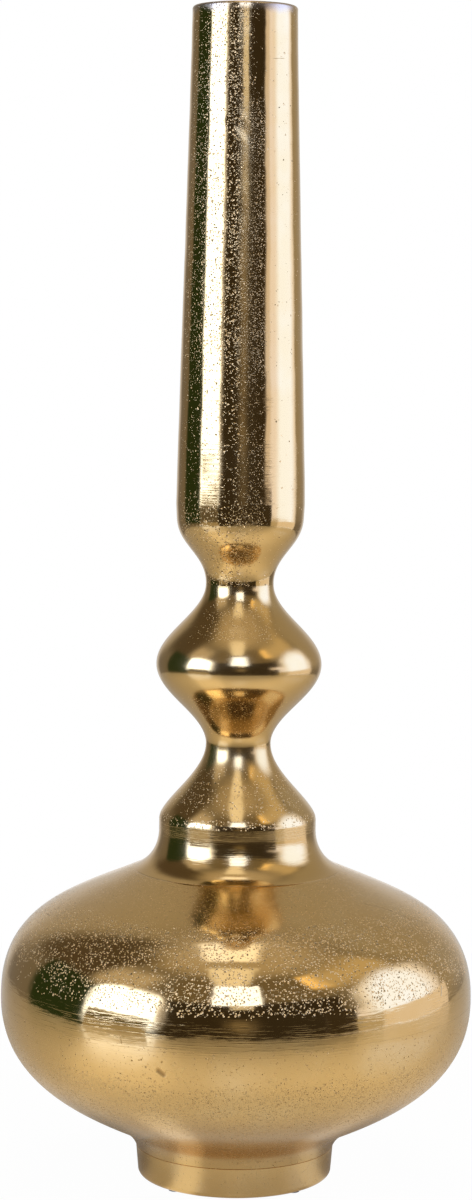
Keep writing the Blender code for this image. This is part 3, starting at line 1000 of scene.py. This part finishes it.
class Finish:
    """A material in the making: a Principled shader and the masks that its inputs are mixed from."""

    def __init__(self, vase, name, colour, roughness, metallic=1.0):
        self.material, self.graph, self.shader = new_material(name)
        self.shader.inputs["Metallic"].default_value = metallic
        self.place = self.graph.node("ShaderNodeTexCoord").outputs["Object"]
        self.vase = vase
        self.colour = (*colour, 1)
        self.roughness = roughness
        self.height = 0.0

    def use(self, name, builder, values):
        return self.graph.group(made_group(name, builder), {"Vector": self.place, **values})

    def band(self, low, high, soft=0.004, ragged=0.0):
        values = {"Low": low, "High": high, "Soft": soft, "Ragged": ragged}
        return self.use("Height band", band_group, values)["Mask"]

    def facing(self, angle, half_width, soft):
        labels = ("Angle", "Half Width", "Soft")
        values = dict(zip(labels, map(math.radians, (angle, half_width, soft))))
        return self.use("Facing side", facing_group, values)["Mask"]

    def marks(self, **values):
        """Height of the turning marks, with their Pitch, Run or Bare where they differ from the usual."""
        return self.use("Turning marks", rings_group, values)["Height"]

    def noise(self, scale, detail):
        return self.graph.noise(self.place, scale, detail)

    def both(self, *masks):
        return self.graph.times(*masks)

    def either(self, *masks):
        return self.graph.larger(*masks)

    def between(self, mask, off, on):
        """A number that is off where the mask is 0 and on where it is 1."""
        return self.graph.mix(mask, off, on)

    def tone(self, mask, colour):
        """Turns the colour towards another one where the mask is 1."""
        self.colour = self.graph.blend(mask, self.colour, colour)

    def roughen(self, mask, roughness):
        """Takes the roughness to another value where the mask is 1."""
        self.roughness = self.graph.mix(mask, self.roughness, roughness)

    def raise_by(self, height, millimetres, mask=1.0):
        """Adds a height, given in parts of that many millimetres, where the mask is 1."""
        self.height = self.graph.plus(self.height, self.graph.times(height, millimetres, mask))

    def nick(self, start, end, width, depth, stain=0.8):
        """A single mark from start to end, its depth in millimetres. Without stain it is only a dent."""
        mask = self.use("Nick", nick_group, {"Start": start, "End": end, "Width": width})["Mask"]
        self.raise_by(mask, -depth)
        if stain:
            self.tone(self.both(mask, stain), self.vase.finish.deep_gold)
            self.roughen(mask, self.vase.finish.pitted)

    def done(self):
        """Links what was gathered to the shader and gives the material."""
        self.graph.give(self.shader.inputs["Base Color"], self.colour)
        self.graph.give(self.shader.inputs["Roughness"], self.roughness)
        bump = self.graph.out("ShaderNodeBump", {"Strength": 1.0, "Distance": 0.001, "Height": self.height})
        self.graph.give(self.shader.inputs["Normal"], bump)
        return self.material


def plate(vase, name, roughness, coarse=0, coarse_where=None, fine=0, fine_where=None, stained=0, dark=0.12):
    """Gold plate over a cast and polished wall.

    coarse and fine are the shares of the wall that the two grains take up, and coarse_where and
    fine_where give their masks. dark is the share of dark pits, and stained is how much the pits are
    stained where they aren't bright.
    """
    finish = vase.finish
    made = Finish(vase, name, finish.gold, roughness)
    g = made.graph
    made.tone(g.fade(made.noise(28.0, 3.0), 0.45, 0.75, 0.0, 0.3), finish.pale_gold)
    uneven = g.times(g.minus(made.noise(60.0, 4.0), 0.5), 0.05)
    made.roughness = g.plus(roughness, uneven)
    patches = g.fade(made.noise(55.0, 2.0), 0.32, 0.6, 0.6, 1.0)
    made.raise_by(made.noise(160.0, 1.0), 1000 * finish.ripple)
    if coarse_where:
        zone = made.both(patches, coarse_where(made))
        add_grain(made, finish.grain_size, finish.grain_depth, zone, coarse, stained, dark)
    zone = made.both(patches, fine_where(made)) if fine_where else patches
    add_grain(made, finish.fine_size, finish.fine_depth, zone, fine, stained, dark)
    return made


def add_grain(made, size, depth, zone, share, stained, dark):
    """Pits that share of the wall where the zone is 1: rough and given a painted glint colour, or stained by
    that much.
    """
    finish = made.vase.finish
    values = {"Size": size, "Share": made.both(zone, share), "Dark Share": dark}
    pits = made.use("Cast grain", grain_group, values)
    made.raise_by(pits["Height"], 1000 * depth)
    made.roughen(pits["Bright"], finish.pitted)
    # Unless the pits are stained, the bright pits get the painted glint colour
    made.tone(made.both(pits["Bright"], stained or 0.85), finish.deep_gold if stained else finish.painted_glint)
    made.roughen(pits["Dark"], finish.dirty)
    made.tone(made.both(pits["Dark"], 0.8), finish.deep_gold if stained else finish.dark_pit)


def add_scored_band(made, low, high, soft):
    """Coarse turning marks that were left unpolished round the belly's widest ring."""
    marks = made.marks(Pitch=0.0009, Run=5.0, Bare=0.2)
    scored = made.band(low, high, soft, 0.006)
    made.raise_by(marks, 0.018, scored)
    made.roughen(made.both(marks, scored, 0.5), made.vase.finish.scored)


def core_off(made):
    """Leaves the inside of a casting unplated and rough, and gives the material. It is called last."""
    cored = made.graph.node("ShaderNodeAttribute", attribute_name="cored").outputs["Fac"]
    inside = made.graph.fade(cored, 0.2, 0.8)
    made.tone(inside, made.vase.finish.cast_wall)
    made.roughen(inside, made.vase.finish.unplated)
    made.raise_by(made.noise(900.0, 3.0), 0.12, inside)
    return made.done()


def coarse_neck(made):
    """The tube keeps its coarse grain on the left of the front, most of it near the middle."""
    rough_side = made.either(made.facing(-23, 22, 4), made.both(made.facing(-50, 20, 5), 0.45))
    low = made.band(0.34, 0.445, 0.03, 0.015)
    return made.both(made.between(rough_side, 0.03, 1.0), made.between(low, 1.0, 0.35))


def fine_neck(made):
    """The fine grain is thick down the middle of the tube's front and thin to its left."""
    low = made.band(0.34, 0.435, 0.03, 0.02)
    middle = made.both(made.facing(7, 14, 5), made.band(*TUBE_BAND))
    left = made.between(made.facing(-30, 40, 6), 0.03, 0.3)
    return made.both(made.either(middle, left), made.between(low, 1.0, 0.45))


def coarse_shoulder(made):
    """The grain is coarse in a band round the shoulder, with a smooth place low on the left."""
    smooth = made.both(made.facing(-74, 24, 8), made.band(0.1, 0.126, 0.002, 0.006))
    return made.both(made.band(0.1135, 0.153, 0.004, 0.005), made.between(smooth, 1.0, 0.15))


def fine_shoulder(made):
    """Above that band the grain is fine."""
    return made.band(0.138, 0.18, 0.012, 0.006)


def coarse_waists(made):
    """The collar keeps some coarse grain along its crisp edge and in front above it."""
    above_collar = made.both(made.band(0.196, 0.222, 0.008, 0.006), made.facing(0, 70, 20), 0.4)
    at_edge = made.band(0.1925, 0.1985, 0.0015, 0.003)
    return made.either(above_collar, at_edge)


def fine_waists(made):
    """The knop and the collar keep fine grain in front, next to the waists."""
    above_knop = made.both(made.band(0.288, 0.313, 0.008, 0.006), made.facing(-2, 34, 18))
    under_knop = made.both(made.band(0.236, 0.268, 0.008, 0.008), made.facing(0, 40, 20), 0.5)
    above_collar = made.both(made.band(0.196, 0.226, 0.008, 0.006), made.facing(0, 80, 20), 0.45)
    return made.either(above_knop, under_knop, above_collar)


def pitted_bowl(made):
    """Pits are dense low on the bowl and hardly show near the belly's widest ring."""
    return made.between(made.band(0.045, 0.084, 0.012, 0.01), 0.15, 1.0)


# Operators


class VASE_OT_add_foot_ring(bpy.types.Operator):
    """Add the turned foot ring"""

    bl_idname = "vase.add_foot_ring"
    bl_label = "Foot Ring"
    bl_options = {"REGISTER", "UNDO"}

    def execute(self, context):
        vase = context.scene.vase
        made = plate(vase, "foot_plate", 0.24, fine=0.12, stained=0.4)
        made.raise_by(made.marks(), 0.012)
        made.nick((-0.0457, -0.0262, 0.0175), (-0.0348, -0.0399, 0.0179), width=0.0003, depth=0.05)
        add_casting(vase, "foot_ring", foot_outline(vase), core_off(made), "gold_plate", waves=0.4)
        return {"FINISHED"}


class VASE_OT_add_foot_pads(bpy.types.Operator):
    """Add the felt pads under the foot ring"""

    bl_idname = "vase.add_foot_pads"
    bl_label = "Felt Pads"
    bl_options = {"REGISTER", "UNDO"}

    def execute(self, context):
        vase = context.scene.vase
        foot = vase.foot
        made = Finish(vase, "pressed_felt", vase.finish.felt, 0.95, metallic=0.0)
        made.shader.inputs["Sheen Weight"].default_value = 0.3
        fibres = made.noise(3000.0, 4.0)
        made.tone(made.graph.fade(fibres, 0.35, 0.75), vase.finish.pale_felt)
        made.raise_by(fibres, 0.1)
        low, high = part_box("foot_pad_1")
        bore = foot.radius - foot.wall - foot.ledge_width
        values = {
            "Count": foot.pad_count,
            "Circle": (bore + foot.radius - foot.taper - foot.edge_round) / 2,
            "Radius": foot.pad_radius,
            "Thickness": high.z - low.z,
            "Round": foot.pad_round,
            "Fuzz": foot.pad_fuzz,
            "Finish": made.done(),
        }
        mesh = mesh_from_tree("foot_pads", made_group("Felt pads", pads_group), values)
        nodes = [f"foot_pad_{index + 1}" for index in range(foot.pad_count)]
        add_piece("foot_pads_felt", mesh, "pad_felt", *nodes)
        return {"FINISHED"}


class VASE_OT_add_bowl(bpy.types.Operator):
    """Add the lower belly shell"""

    bl_idname = "vase.add_bowl"
    bl_label = "Bowl"
    bl_options = {"REGISTER", "UNDO"}

    def execute(self, context):
        vase = context.scene.vase
        made = plate(vase, "bowl_plate", vase.finish.satin, 0.5, pitted_bowl, 1.0, pitted_bowl, stained=0.75)
        made.roughen(made.band(0.088, 0.12, 0.012, 0.004), 0.11)
        add_scored_band(made, 0.090, 0.12, 0.008)
        made.nick((-0.0378, -0.1181, 0.087), (-0.0352, -0.1185, 0.0848), width=0.0019, depth=0.35, stain=1.0)
        for x, y, z in ((0.0205, -0.1153, 0.0687), (0.0269, -0.1137, 0.0683), (-0.0081, -0.1144, 0.0651)):
            made.nick((x, y, z), (x + 0.0004, y, z), width=0.0008, depth=0.2)
        sides = vase.turning.belly_sides
        material = core_off(made)
        outline = bowl_outline(vase)
        add_casting(
            vase, "belly_lower", outline, material, "gold_plate_satin", shown=1, waves=0.7, sides=sides
        )
        return {"FINISHED"}


class VASE_OT_add_shoulder(bpy.types.Operator):
    """Add the upper belly shell"""

    bl_idname = "vase.add_shoulder"
    bl_label = "Shoulder"
    bl_options = {"REGISTER", "UNDO"}

    def execute(self, context):
        vase = context.scene.vase
        made = plate(vase, "shoulder_plate", 0.075, 1.0, coarse_shoulder, 0.6, fine_shoulder, dark=0.18)
        made.roughen(made.band(0.140, 0.2, 0.02, 0.004), vase.finish.matt)
        add_scored_band(made, 0.0, 0.1185, 0.008)
        hairline = (
            (0.0653, -0.0435, 0.1562),
            (0.077, -0.0389, 0.1527),
            (0.089, -0.0378, 0.1474),
            (0.1007, -0.0269, 0.1426),
        )
        for start, end in zip(hairline, hairline[1:]):
            made.nick(start, end, width=0.0004, depth=0.04)
        # A pit beside the hairline, and a scratch on each side of the front
        made.nick((0.089, -0.0391, 0.1471), (0.0894, -0.0391, 0.1471), width=0.0009, depth=0.2)
        made.nick((-0.0569, -0.1112, 0.1026), (-0.0563, -0.1115, 0.0985), width=0.0004, depth=0.08)
        made.nick((0.1048, -0.0631, 0.1181), (0.1047, -0.0655, 0.1135), width=0.0005, depth=0.12)
        sides = vase.turning.belly_sides
        material = core_off(made)
        outline = shoulder_outline(vase)
        add_casting(vase, "belly_upper", outline, material, "gold_plate", waves=0.7, sides=sides)
        return {"FINISHED"}


class VASE_OT_add_collar(bpy.types.Operator):
    """Add the collar with its threaded spigot"""

    bl_idname = "vase.add_collar"
    bl_label = "Collar"
    bl_options = {"REGISTER", "UNDO"}

    def execute(self, context):
        vase = context.scene.vase
        collar = vase.collar
        made = plate(vase, "collar_plate", 0.14, 0.8, coarse_waists, 0.55, fine_waists)
        made.raise_by(made.marks(), 0.0018)
        made.roughen(made.band(0.214, KNOP_BASE + 0.02, 0.01), vase.finish.waist)
        turned = made.band(COLLAR_BASE + 0.006, COLLAR_BASE + collar.break_height - 0.0004, 0.002)
        made.raise_by(made.marks(Pitch=0.0008, Run=1.6, Bare=0.1), 0.013, turned)
        thread = (collar.spigot_radius, COLLAR_BASE - collar.spigot_length, COLLAR_BASE - 0.001)
        material = core_off(made)
        add_casting(vase, "collar", collar_outline(vase), material, "gold_plate", waves=0.5, thread=thread)
        return {"FINISHED"}


class VASE_OT_add_knop(bpy.types.Operator):
    """Add the round knop"""

    bl_idname = "vase.add_knop"
    bl_label = "Knop"
    bl_options = {"REGISTER", "UNDO"}

    def execute(self, context):
        vase = context.scene.vase
        made = plate(vase, "knop_plate", 0.16, 0.7, coarse_waists, 0.65, fine_waists)
        made.roughen(made.band(0.312, NECK_BASE + 0.02, 0.01), vase.finish.waist)
        add_casting(vase, "knop", knop_outline(vase), core_off(made), "gold_plate", waves=0.5)
        return {"FINISHED"}


class VASE_OT_add_neck_tube(bpy.types.Operator):
    """Add the long neck tube with its worn rim"""

    bl_idname = "vase.add_neck_tube"
    bl_label = "Neck Tube"
    bl_options = {"REGISTER", "UNDO"}

    def execute(self, context):
        vase = context.scene.vase
        finish = vase.finish
        made = plate(vase, "neck_plate", finish.polished, 0.85, coarse_neck, 1.0, fine_neck, dark=0.35)
        made.raise_by(made.marks(), 0.003)
        made.roughen(made.both(made.facing(5, 11, 5), made.band(*TUBE_BAND)), 0.17)
        rim = made.band(RIM_TOP - 0.0062, 1.0, 0.005, 0.006)
        rubbed = made.either(made.facing(-58, 34, 12), made.facing(40, 26, 12))
        made.tone(made.both(rim, made.between(rubbed, 0.2, 0.75)), finish.worn_rim)
        made.roughen(made.both(rim, made.between(rubbed, 0.3, 1.0)), finish.worn)
        lathe = made.marks(Pitch=0.0007, Run=1.2, Bare=0.1)
        for low, high in ((0.408, 0.418), (0.358, 0.394)):
            made.raise_by(lathe, 0.01, made.band(low, high, 0.002, 0.004))
        # A hairline, two specks and, last, a wide shallow dent
        made.nick((0.014, -0.0243, 0.5877), (0.0207, -0.0189, 0.5883), width=0.0003, depth=0.04)
        for x, y, z in ((0.0213, -0.0185, 0.5797), (0.0217, -0.0196, 0.5418)):
            made.nick((x, y, z), (x + 0.0012, y + 0.001, z), width=0.0004, depth=0.05)
        made.nick((-0.006, -0.0285, 0.556), (0.005, -0.0287, 0.547), width=0.005, depth=0.16, stain=0.0)
        add_casting(vase, "neck_tube", neck_outline(vase), core_off(made), "gold_plate")
        return {"FINISHED"}


class VASE_OT_add_nipples(bpy.types.Operator):
    """Add the threaded nipples that hold the two waists together"""

    bl_idname = "vase.add_nipples"
    bl_label = "Nipples"
    bl_options = {"REGISTER", "UNDO"}

    def execute(self, context):
        vase = context.scene.vase
        nipple = vase.nipple
        made = Finish(vase, "turned_brass", vase.finish.brass, 0.32)
        stain = made.graph.fade(made.noise(220.0, 4.0), 0.45, 0.7)
        made.tone(made.both(stain, 0.5), vase.finish.brass_stain)
        made.roughen(stain, 0.5)
        made.raise_by(made.marks(Pitch=0.0002), 0.01)
        brass = made.done()
        half = nipple.long / 2
        sides = vase.turning.nipple_sides
        for name, middle in (("collar_nipple", KNOP_BASE), ("neck_nipple", NECK_BASE)):
            thread = (nipple.radius, middle - half, middle + half)
            outline = nipple_outline(vase, middle)
            add_casting(vase, name, outline, brass, "nipple_brass", waves=0.0, thread=thread, sides=sides)
        return {"FINISHED"}


def card_group():
    """A soft-edged rectangle, with an arched top where asked, in the directions round the vase."""
    inputs = {
        "Azimuth": 0.0,
        "Elevation": 0.0,
        "Middle": 0.0,
        "Half Width": 20.0,
        "Foot": 0.0,
        "Top": 40.0,
        "Arch": 0.0,
        "Soft": 3.0,
    }
    tree, g, given, result = new_group("Studio card", "ShaderNodeTree", inputs, ["Mask"])
    soft = given["Soft"]
    foot = given["Foot"]
    half = given["Half Width"]
    off = g.math("WRAP", g.minus(given["Azimuth"], given["Middle"]), 180.0, -180.0)
    wide = g.fade(g.absolute(off), g.minus(half, soft), g.plus(half, soft), 1.0, 0.0)
    share_out = g.over(off, half)
    top = g.minus(given["Top"], g.times(share_out, share_out, given["Arch"]))
    below = g.fade(given["Elevation"], g.minus(top, soft), g.plus(top, soft), 1.0, 0.0)
    above = g.fade(given["Elevation"], g.minus(foot, soft), g.plus(foot, soft))
    g.give(result["Mask"], g.times(wide, above, below))
    return tree


class VASE_OT_add_studio(bpy.types.Operator):
    """Add the camera, the floor and the light round the vase"""

    bl_idname = "vase.add_studio"
    bl_label = "Studio"
    bl_options = {"REGISTER", "UNDO"}

    def execute(self, context):
        studio = context.scene.vase.studio
        self.add_camera(studio)
        self.add_floor(studio)
        self.add_boards()
        self.add_lamp(studio)
        self.add_world(studio)
        context.scene.view_settings.view_transform = "Standard"
        return {"FINISHED"}

    def add_camera(self, studio):
        data = bpy.data.cameras.new("camera")
        data.lens = studio.lens
        data.sensor_fit = "VERTICAL"
        data.sensor_height = studio.sensor
        place = Matrix.Translation((studio.aside, -studio.distance, studio.camera_height))
        aim = Matrix.Rotation(math.radians(90 - studio.tilt), 4, "X")
        lean = Matrix.Rotation(math.radians(studio.roll), 4, "Z")
        camera = add_object("camera", data)
        camera.matrix_world = place @ aim @ lean
        bpy.context.scene.camera = camera

    def add_floor(self, studio):
        """A disc that fades to the white ground in the camera's view but keeps the vase's shadow. Its colour
        carries painted light and shade, and in reflections it glows with painted light near the foot.
        """
        shape = bmesh.new()
        bmesh.ops.create_circle(shape, cap_ends=True, radius=studio.floor_radius, segments=96)
        mesh = finish_mesh(shape, bpy.data.meshes.new("floor"))
        material, g, shader = new_material("painted_light_floor")
        shader.inputs["Roughness"].default_value = studio.floor_rough
        shader.inputs["Specular IOR Level"].default_value = 0.4
        place = g.node("ShaderNodeTexCoord").outputs["Object"]
        reach = g.length(place)
        way = g.vector("NORMALIZE", place)
        # Painted light and shade: the floor's colour is scaled by a painted pool of window light and by
        # painted shade behind the vase
        level = self.painted_floor_light(g, place, reach, way)
        g.give(shader.inputs["Base Color"], g.scaled((*studio.floor,), level))

        path = g.node("ShaderNodeLightPath").outputs
        mirrored = g.larger(path["Is Glossy Ray"], path["Is Transmission Ray"])
        # Painted light: for reflections the floor glows near the foot, brightest in two strips beside it
        painted_left_strip = g.fade(g.dot(way, (-0.6, -0.8, 0)), 0.965, 0.999)
        painted_right_strip = g.fade(g.dot(way, (0.92, -0.39, 0)), 0.95, 0.995)
        strips = g.larger(painted_left_strip, g.times(painted_right_strip, 0.5))
        in_view = g.times(path["Is Camera Ray"], g.fade(reach, 0.1, 0.6, studio.floor_white, 1.0))
        painted_glow_share = g.times(mirrored, self.painted_floor_glow(g, reach, way, strips))
        # Painted highlight: beside the foot the strips glow brighter than white in reflections
        painted_foot_glow = g.times(mirrored, g.fade(reach, 0.12, 0.085))
        strength = g.plus(1.0, g.times(painted_foot_glow, strips, 0.25))
        white = g.out("ShaderNodeEmission", {"Color": (1, 1, 1, 1), "Strength": strength})
        # The camera sees the white ground here, and reflections see the floor's painted glow
        shares = {0: g.larger(in_view, painted_glow_share), 1: shader.outputs[0], 2: white}
        output = material.node_tree.nodes["Material Output"]
        g.give(output.inputs["Surface"], g.out("ShaderNodeMixShader", shares))
        mesh.materials.append(material)
        floor = add_object("floor", mesh)

    def painted_floor_light(self, g, place, reach, way):
        """How bright the floor is painted: a painted pool of light towards the left window, and painted shade
        behind the vase and far in front.
        """
        right, back, _ = g.split(way)
        # Painted shade far in front of the vase
        front = g.fade(g.split(place)[1], -0.15, -0.6, 1.0, 0.6)
        painted_lit_side = g.fade(g.dot(way, (-0.74, -0.67, 0)), 0.87, 0.97)
        painted_window_pool = g.times(painted_lit_side, g.fade(reach, 0.12, 0.22, 0.14, 0.34))
        level = g.times(g.math("MULTIPLY_ADD", back, -0.33, 0.79), front)
        return g.plus(level, g.times(right, 0.06), painted_window_pool)

    def painted_floor_glow(self, g, reach, way, strips):
        """Painted glow: how white the floor near the vase looks in the plate, with two painted bright strips
        beside the foot.
        """
        back = g.split(way)[1]
        end = g.fade(back, 0.0, 0.6, 0.19, 0.31)
        near = g.fade(back, -0.3, 0.2, 0.7, 0.42)
        beside = g.fade(back, -0.35, 0.1, g.mix(strips, 0.5, 1.15), 0.12)
        return g.times(g.fade(reach, 0.12, end, near, 0.02), g.fade(reach, 0.07, 0.115, beside, 1.0))

    def add_boards(self):
        """Low boards beyond the floor and a high window in the middle, which only reflections show."""
        for name, start, end, near, far, colour in (
            # name, first and last azimuth, distance and height of each rail, colour
            ("left_table", -73, -41, (1.0, 0.0), (1.3, 0.096), (0.50, 0.47, 0.40)),
            ("left_gap", -73, -41, (1.3, 0.096), (1.72, 0.231), (0.16, 0.15, 0.13)),
            ("left_sill", -73, -41, (1.72, 0.231), (2.1, 0.353), (0.50, 0.50, 0.52)),
            ("right_screen", 41, 56.5, (1.05, 0.0), (1.05, 0.35), (0.06, 0.05, 0.035)),
            ("right_end", 56.5, 71, (1.05, 0.0), (1.05, 0.19), (0.72, 0.70, 0.66)),
            ("right_sill", 71, 118, (1.05, 0.0), (1.05, 0.19), (1.15, 1.17, 1.4)),
            ("middle_sill", -2, 9, (1.58, 0.72), (1.58, 0.87), (1.0, 1.05, 1.2)),
            ("middle_window", -11.5, 13, (1.58, 0.87), (1.58, 2.0), (2.6, 3.4, 6.3)),
        ):
            shape = bmesh.new()
            rails = []
            count = round((end - start) / 3)
            for index in range(count + 1):
                angle = math.radians(start + (end - start) * index / count)
                towards = Vector((math.sin(angle), -math.cos(angle), 0))
                ends = [towards * away + Vector((0, 0, high)) for away, high in (near, far)]
                rails.append([shape.verts.new(corner) for corner in ends])
            for first, second in zip(rails, rails[1:]):
                shape.faces.new((first[0], second[0], second[1], first[1]))
            mesh = finish_mesh(shape, bpy.data.meshes.new(name))
            material, _, shader = new_material(name)
            shader.inputs["Base Color"].default_value = (0, 0, 0, 1)
            shader.inputs["Specular IOR Level"].default_value = 0
            shader.inputs["Emission Color"].default_value = (*colour, 1)
            shader.inputs["Emission Strength"].default_value = 1.0
            mesh.materials.append(material)
            board = add_object(name, mesh)
            board.visible_camera = False
            board.visible_diffuse = False
            board.visible_shadow = False

    def add_lamp(self, studio):
        """A wide soft light above and behind the vase, for the floor."""
        data = bpy.data.lights.new("top_light", "AREA")
        data.shape = "DISK"
        data.size = studio.lamp_size
        data.energy = studio.lamp
        lamp = add_object("top_light", data)
        lamp.location = (0, studio.lamp_back, studio.lamp_height)
        lamp.rotation_euler = (math.radians(studio.lamp_tilt), 0, 0)
        lamp.visible_glossy = False
        lamp.visible_camera = False

    def add_world(self, studio):
        """Windows, walls and dark screens round the vase, on a white ground for the camera."""
        world = bpy.data.worlds.new("studio")
        world.use_nodes = True
        bpy.context.scene.world = world
        g = Graph(world.node_tree)
        x, y, z = g.split(g.node("ShaderNodeTexCoord").outputs["Generated"])
        azimuth = g.math("DEGREES", g.math("ARCTAN2", x, g.times(y, -1.0)))
        elevation = g.math("DEGREES", g.math("ARCSINE", z))
        wall = studio.wall
        full = [studio.window * part for part in studio.daylight]
        soft_white = (1.6, 2.22, 4.6)
        dim = (1.3, 1.45, 2.1)
        cards = (
            # middle, half width, foot, top, arch, softness, colour
            (180, 38, 10, 62, 0, 10, (0.50, 0.48, 0.44)),
            (136, 20, -5, 58, 0, 8, (0.47, 0.45, 0.41)),
            (180, 28, -20, 16, 0, 8, (0.70, 0.69, 0.68)),
            (-112, 28, 22, 66, 0, 9, (0.12, 0.10, 0.075)),
            (-97.5, 20.5, -14, 31, 4, 3, (0.03, 0.055, 0.02)),
            (-10, 63, -40, -3, 0, 2, (0.05, 0.045, 0.03)),
            (6, 43, 28, 60, 0, 5, (0.23, 0.20, 0.15)),
            (9.5, 46.5, -30, 29, 0, 2.5, (0.05, 0.042, 0.03)),
            (3, 6, 0, 9, 0, 5, (0.34, 0.30, 0.24)),
            (53, 8, 41, 58, 0, 3, (2.0, 1.6, 0.9)),
            (82, 29, 38, 60, 0, 9, (0.80, 0.72, 0.56)),
            (62, 17, -12, 12, 0, 2.5, (1.05, 1.1, 1.5)),
            (66, 12, -12, 12, 0, 3, (1.35, 1.55, 2.6)),
            (94, 24, -26, 12, 0, 4, dim),
            (90, 27, 7, 40, 10, 5, dim),
            (90, 20, -17, 37, 10, 7, soft_white),
            (-68, 18, 30, 54, 0, 7, (0.74, 0.72, 0.74)),
            (-49, 12, 2, 34, 6, 5, dim),
            (-58.8, 18, -3, 34, 5, 3, full),
            (180, 7, -20, 8, 0, 1.5, (1, 1, 1)),
        )
        ceiling = g.fade(elevation, 54.0, 76.0)
        light = g.blend(ceiling, (wall, wall * 0.95, wall * 0.9, 1), (0.64, 0.59, 0.52))
        group = made_group("Studio card", card_group)
        labels = ("Middle", "Half Width", "Foot", "Top", "Arch", "Soft")
        for *sizes, colour in cards:
            values = {"Azimuth": azimuth, "Elevation": elevation, **dict(zip(labels, sizes))}
            light = g.blend(g.group(group, values)["Mask"], light, colour)

        height = g.larger(z, 0.1)
        from_middle = g.absolute(g.plus(g.over(x, height), 0.03))
        behind = g.over(y, height)
        soft = 0.03
        for half_width, near, far, colour in (
            # skylights: half width, nearest and furthest edge at a height of one, colour
            (0.14, -0.78, -0.24, (1.4, 1.45, 1.6)),
            (0.13, -0.08, 0.30, (1.9, 2.05, 2.6)),
        ):
            wide = g.fade(from_middle, half_width + soft, half_width - soft)
            beyond = g.fade(behind, near - soft, near + soft)
            before = g.fade(behind, far + soft, far - soft)
            light = g.blend(g.times(wide, beyond, before), light, colour)
        seen = g.node("ShaderNodeLightPath").outputs["Is Camera Ray"]
        g.give(world.node_tree.nodes["Background"].inputs["Color"], g.blend(seen, light, (1, 1, 1)))


class VASE_PT_parts(bpy.types.Panel):
    """Adds the pieces of the vase one by one"""

    bl_label = "Turned Bottle Vase"
    bl_idname = "VASE_PT_parts"
    bl_space_type = "VIEW_3D"
    bl_region_type = "UI"
    bl_category = "Vase"

    def draw(self, context):
        column = self.layout.column(align=True)
        for operator in OPERATORS:
            column.operator(operator.bl_idname)
        vase = context.scene.vase
        for group in VaseSettings.__annotations__:
            box = self.layout.box()
            box.label(text=group.capitalize())
            settings = getattr(vase, group)
            for name in settings.__annotations__:
                box.prop(settings, name)


OPERATORS = (
    VASE_OT_add_foot_pads,
    VASE_OT_add_foot_ring,
    VASE_OT_add_bowl,
    VASE_OT_add_shoulder,
    VASE_OT_add_collar,
    VASE_OT_add_knop,
    VASE_OT_add_neck_tube,
    VASE_OT_add_nipples,
    VASE_OT_add_studio,
)
SETTINGS = (
    TurningSettings,
    FootSettings,
    BowlSettings,
    ShoulderSettings,
    CollarSettings,
    KnopSettings,
    NeckSettings,
    NippleSettings,
    FinishSettings,
    StudioSettings,
    VaseSettings,
)


def register():
    for made in (*SETTINGS, *OPERATORS, VASE_PT_parts):
        bpy.utils.register_class(made)
    bpy.types.Scene.vase = PointerProperty(type=VaseSettings)


def unregister():
    del bpy.types.Scene.vase
    for made in reversed((*SETTINGS, *OPERATORS, VASE_PT_parts)):
        bpy.utils.unregister_class(made)


def main():
    register()
    for operator in OPERATORS:
        group, name = operator.bl_idname.split(".")
        getattr(getattr(bpy.ops, group), name)()


if __name__ == "__main__":
    main()
